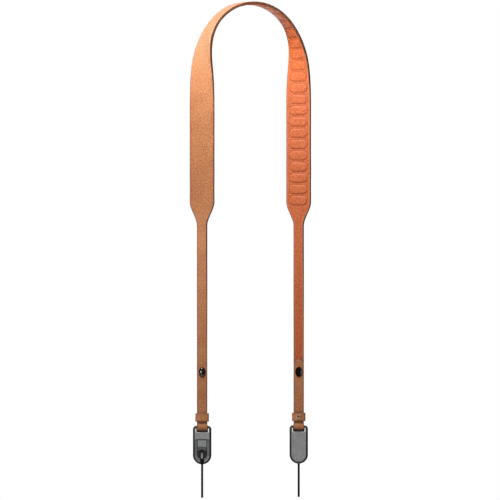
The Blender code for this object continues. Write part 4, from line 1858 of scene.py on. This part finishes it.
    def release_button(self) -> Mesh:
        """The button: a thumb face with a raised grid over a sloping lip that curves round the anchor."""
        face = self.button_face
        layers = [(self.button_outline(0.0), face - self.button_thickness)]
        layers += [(self.button_outline(shrink), face - sink)
                   for shrink, sink in rounding(self.button_round, self.button_steps)]
        bm = carve(stack(layers), [(Carve.REMOVE, self.lip_scoop())])
        # the scoop's faces, turned down from the light, get the darker grey as painted shade
        for item in bm.faces:
            _, y, z = item.calc_center_median()
            if item.normal.y > self.lip_normal and z < -self.lip_top and y < face - self.tolerance:
                item.material_index = 1
        return merged([bm, self.grip()])

    def anchor_disc(self) -> Mesh:
        """The anchor's disc, a little dished."""
        r, radius, thick = self.anchor_round, self.anchor_radius, self.anchor_thickness
        profile = [(reach * radius, thick - depth) for reach, depth in self.anchor_dish]
        profile += [(radius - 2.0 * r, thick)] + arc((radius - r, thick - r), r, 90.0, 0.0, self.anchor_steps)
        profile += arc((radius - r, r), r, 0.0, -90.0, self.anchor_steps) + [(0.0, 0.0)]
        disc = turned(profile, self.anchor_sides)
        place = Matrix.Translation((0.0, self.anchor_back, -self.anchor_drop))
        bmesh.ops.transform(disc, matrix=place @ Matrix.Rotation(-QUARTER, 4, "X"), verts=disc.verts)
        return disc

    def cord_anchor(self) -> Mesh:
        """The disc in the track, with a rounded ridge from its middle to where the cord leaves it; the
        ridge's crest carries a painted highlight in a lighter grey.
        """
        foot = -self.anchor_drop - self.anchor_radius
        low, high = self.anchor_back + self.anchor_round, self.front - self.anchor_clearance
        layers = []
        for i in range(self.ridge_layers):
            angle = QUARTER * i / self.ridge_layers
            size = 0.5 * self.ridge_width * math.cos(angle) ** self.ridge_power
            outline = arc((0.0, -self.anchor_drop), size, 0.0, 180.0, self.ridge_steps)
            outline += [(-size, foot), (size, foot)]
            layers.append((outline, low + self.ridge_wall + (high - low - self.ridge_wall) * math.sin(angle)))
        ridge = stack([(layers[0][0], low)] + layers)
        bm = carve(self.anchor_disc(), [(Carve.JOIN, ridge)])
        for face in bm.faces:
            # painted highlight: a lighter grey on the ridge's crest, where its gloss would catch the light
            x, y, z = face.calc_center_median()
            on_top = y > high - self.glint_depth and abs(x) < self.glint_half
            if on_top and z > -self.anchor_drop - self.glint_reach:
                face.material_index = 1
        return bm

    def cord_path(self) -> list[Vector]:
        """The cord's centre line on its own side."""
        place = self.side.matrix(self.hang)
        points = [place @ Vector((0.0, front, -drop)) for front, drop in self.cord_route]
        return even_path(points, self.cord_spacing)

    def braid(self, angle: float, along: float) -> float:
        """Relief of a braid of strands that cross over and under.

        Args:
            angle: the angle round the cord.
            along: the length along it.

        Returns:
            The relief, 0 down between the strands and 1 on top of one.
        """
        round_share, along_share = self.braid_strands * angle / TURN, along / self.braid_pitch
        one, other = round_share + along_share, round_share - along_share
        share = one if (math.floor(one) + math.floor(other)) % 2 else other
        return math.sqrt(max(0.0, 1.0 - (2.0 * (share - math.floor(share)) - 1.0) ** 2))

    def build(self) -> None:
        """Make all pieces of the connector."""
        name = self.side.value
        looks = self.finishes
        moulded = (
            ("connector_shell", self.dressed_shell(), "connector", "housing", self.shell_sharp,
             (looks.shell, looks.rim, looks.sunk_shade)),
            ("release_button", self.release_button(), "release", "button", self.shell_sharp,
             (looks.button, looks.sunk_shade)),
            ("cord_anchor", self.cord_anchor(), "connector", "anchor", self.anchor_sharp,
             (looks.anchor, looks.rubbed)),
        )
        for label, bm, body, node, sharp, plastics in moulded:
            role = Role(f"{name}_{body}", f"{node}_plastic", (f"{name}_{node}",))
            add_piece(f"{name}_{label}", self.side.put(bm, self.hang), role, plastics, sharp, True)
        path = self.cord_path()
        strand = tube(path, 0.5 * self.cord_diameter, self.cord_sides, Vector((1.0, 0.0, 0.0)), self.braid)
        role = Role(f"{name}_connector", "cord_fabric", (f"{name}_cord",))
        cord = add_piece(f"{name}_cord_loop", strand, role, [looks.cord], self.cord_sharp)
        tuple(path[0])
        MeasuredLine(path).length


# Floor, light and camera

@dataclass(frozen=True)
class Softbox:
    """A large soft light."""

    name: str
    place: tuple[float, float, float]
    aim: tuple[float, float, float]
    size: float
    power: float
    spread: float = 180.0

    def build(self) -> None:
        """Put the light up."""
        data = bpy.data.lights.new(self.name, "AREA")
        data.shape = "SQUARE"
        data.size = self.size
        data.energy = self.power
        data.spread = math.radians(self.spread)
        obj = bpy.data.objects.new(self.name, data)
        obj.location = self.place
        obj.rotation_mode = "QUATERNION"
        obj.rotation_quaternion = (Vector(self.aim) - Vector(self.place)).to_track_quat("-Z", "Y")
        bpy.context.scene.collection.objects.link(obj)


@dataclass
class Studio:
    """A pale floor and backdrop, soft lights, and a long lens level with the strap's middle."""

    floor_height: float = -1.05
    floor_radius: float = 1.7
    floor_sides: int = 96
    metres_a_pixel: float = 0.0013
    pixels: int = 500
    middle: tuple[float, float] = (-0.00065, -0.3185)
    distance: float = 13.0
    sensor: float = 36.0
    clip: tuple[float, float] = (0.1, 100.0)
    ambient: float = 0.05
    lights: tuple[Softbox, ...] = (
        Softbox("key", (-0.22, -0.37, 0.36), (0.0, 0.0, -0.15), 0.26, 7.2),
        Softbox("front_fill", (-0.80, -1.4, -0.40), (0.0, 0.0, -0.45), 0.6, 5.0),
        Softbox("arch_fill", (-0.16, -0.60, -0.30), (0.05, 0.0, -0.02), 0.16, 0.04, 26.0),
        Softbox("back_key", (0.30, 0.85, 0.25), (0.0, 0.0, -0.25), 0.5, 11.0),
        Softbox("back_fill", (-0.35, 1.5, -0.40), (0.0, 0.0, -0.45), 0.5, 4.0),
    )

    def floor(self) -> None:
        """A pale disc under the strap."""
        bm = bmesh.new()
        bmesh.ops.create_circle(bm, cap_ends=True, segments=self.floor_sides, radius=self.floor_radius)
        bmesh.ops.translate(bm, vec=(0.0, 0.0, self.floor_height), verts=bm.verts)
        obj = bare_object("floor", bm)
        obj.data.materials.append(PaleFloor().material())

    def world(self) -> None:
        """A white backdrop, whose light on the strap is dimmer than it looks."""
        world = bpy.data.worlds.new("white")
        world.use_nodes = True
        nodes, links = world.node_tree.nodes, world.node_tree.links
        nodes.clear()
        seen = nodes.new("ShaderNodeLightPath")
        strength = nodes.new("ShaderNodeMapRange")
        strength.inputs["To Min"].default_value = self.ambient
        strength.inputs["To Max"].default_value = 1.0
        backdrop = nodes.new("ShaderNodeBackground")
        end = nodes.new("ShaderNodeOutputWorld")
        links.new(seen.outputs["Is Camera Ray"], strength.inputs["Value"])
        links.new(strength.outputs["Result"], backdrop.inputs["Strength"])
        links.new(backdrop.outputs[0], end.inputs["Surface"])
        backdrop.inputs["Color"].default_value = (1.0, 1.0, 1.0, 1.0)
        bpy.context.scene.world = world

    def camera(self) -> None:
        """A level camera from the front."""
        data = bpy.data.cameras.new("camera")
        data.sensor_width = self.sensor
        data.lens = data.sensor_width * self.distance / (self.metres_a_pixel * self.pixels)
        data.clip_start, data.clip_end = self.clip
        obj = bpy.data.objects.new("camera", data)
        obj.location = (self.middle[0], -self.distance, self.middle[1])
        obj.rotation_euler = (QUARTER, 0.0, 0.0)
        bpy.context.scene.collection.objects.link(obj)
        bpy.context.scene.camera = obj

    def build(self) -> None:
        """Put up the studio."""
        self.floor()
        self.world()
        self.camera()
        for light in self.lights:
            light.build()
        bpy.context.scene.view_settings.view_transform = "Standard"


def main() -> None:
    """Put up the studio, then build the strap's pieces in order."""
    logging.basicConfig(level=logging.INFO, format="%(name)s: %(message)s")
    hang = Hang()
    finishes = Finishes()
    Studio().build()
    for side in Side:
        Connector(side, hang, finishes).build()
    Band(hang, finishes).build()
    for side in Side:
        Stud(side, hang, finishes).build()
        Keeper(side, hang, finishes).build()


if __name__ == "__main__":
    main()
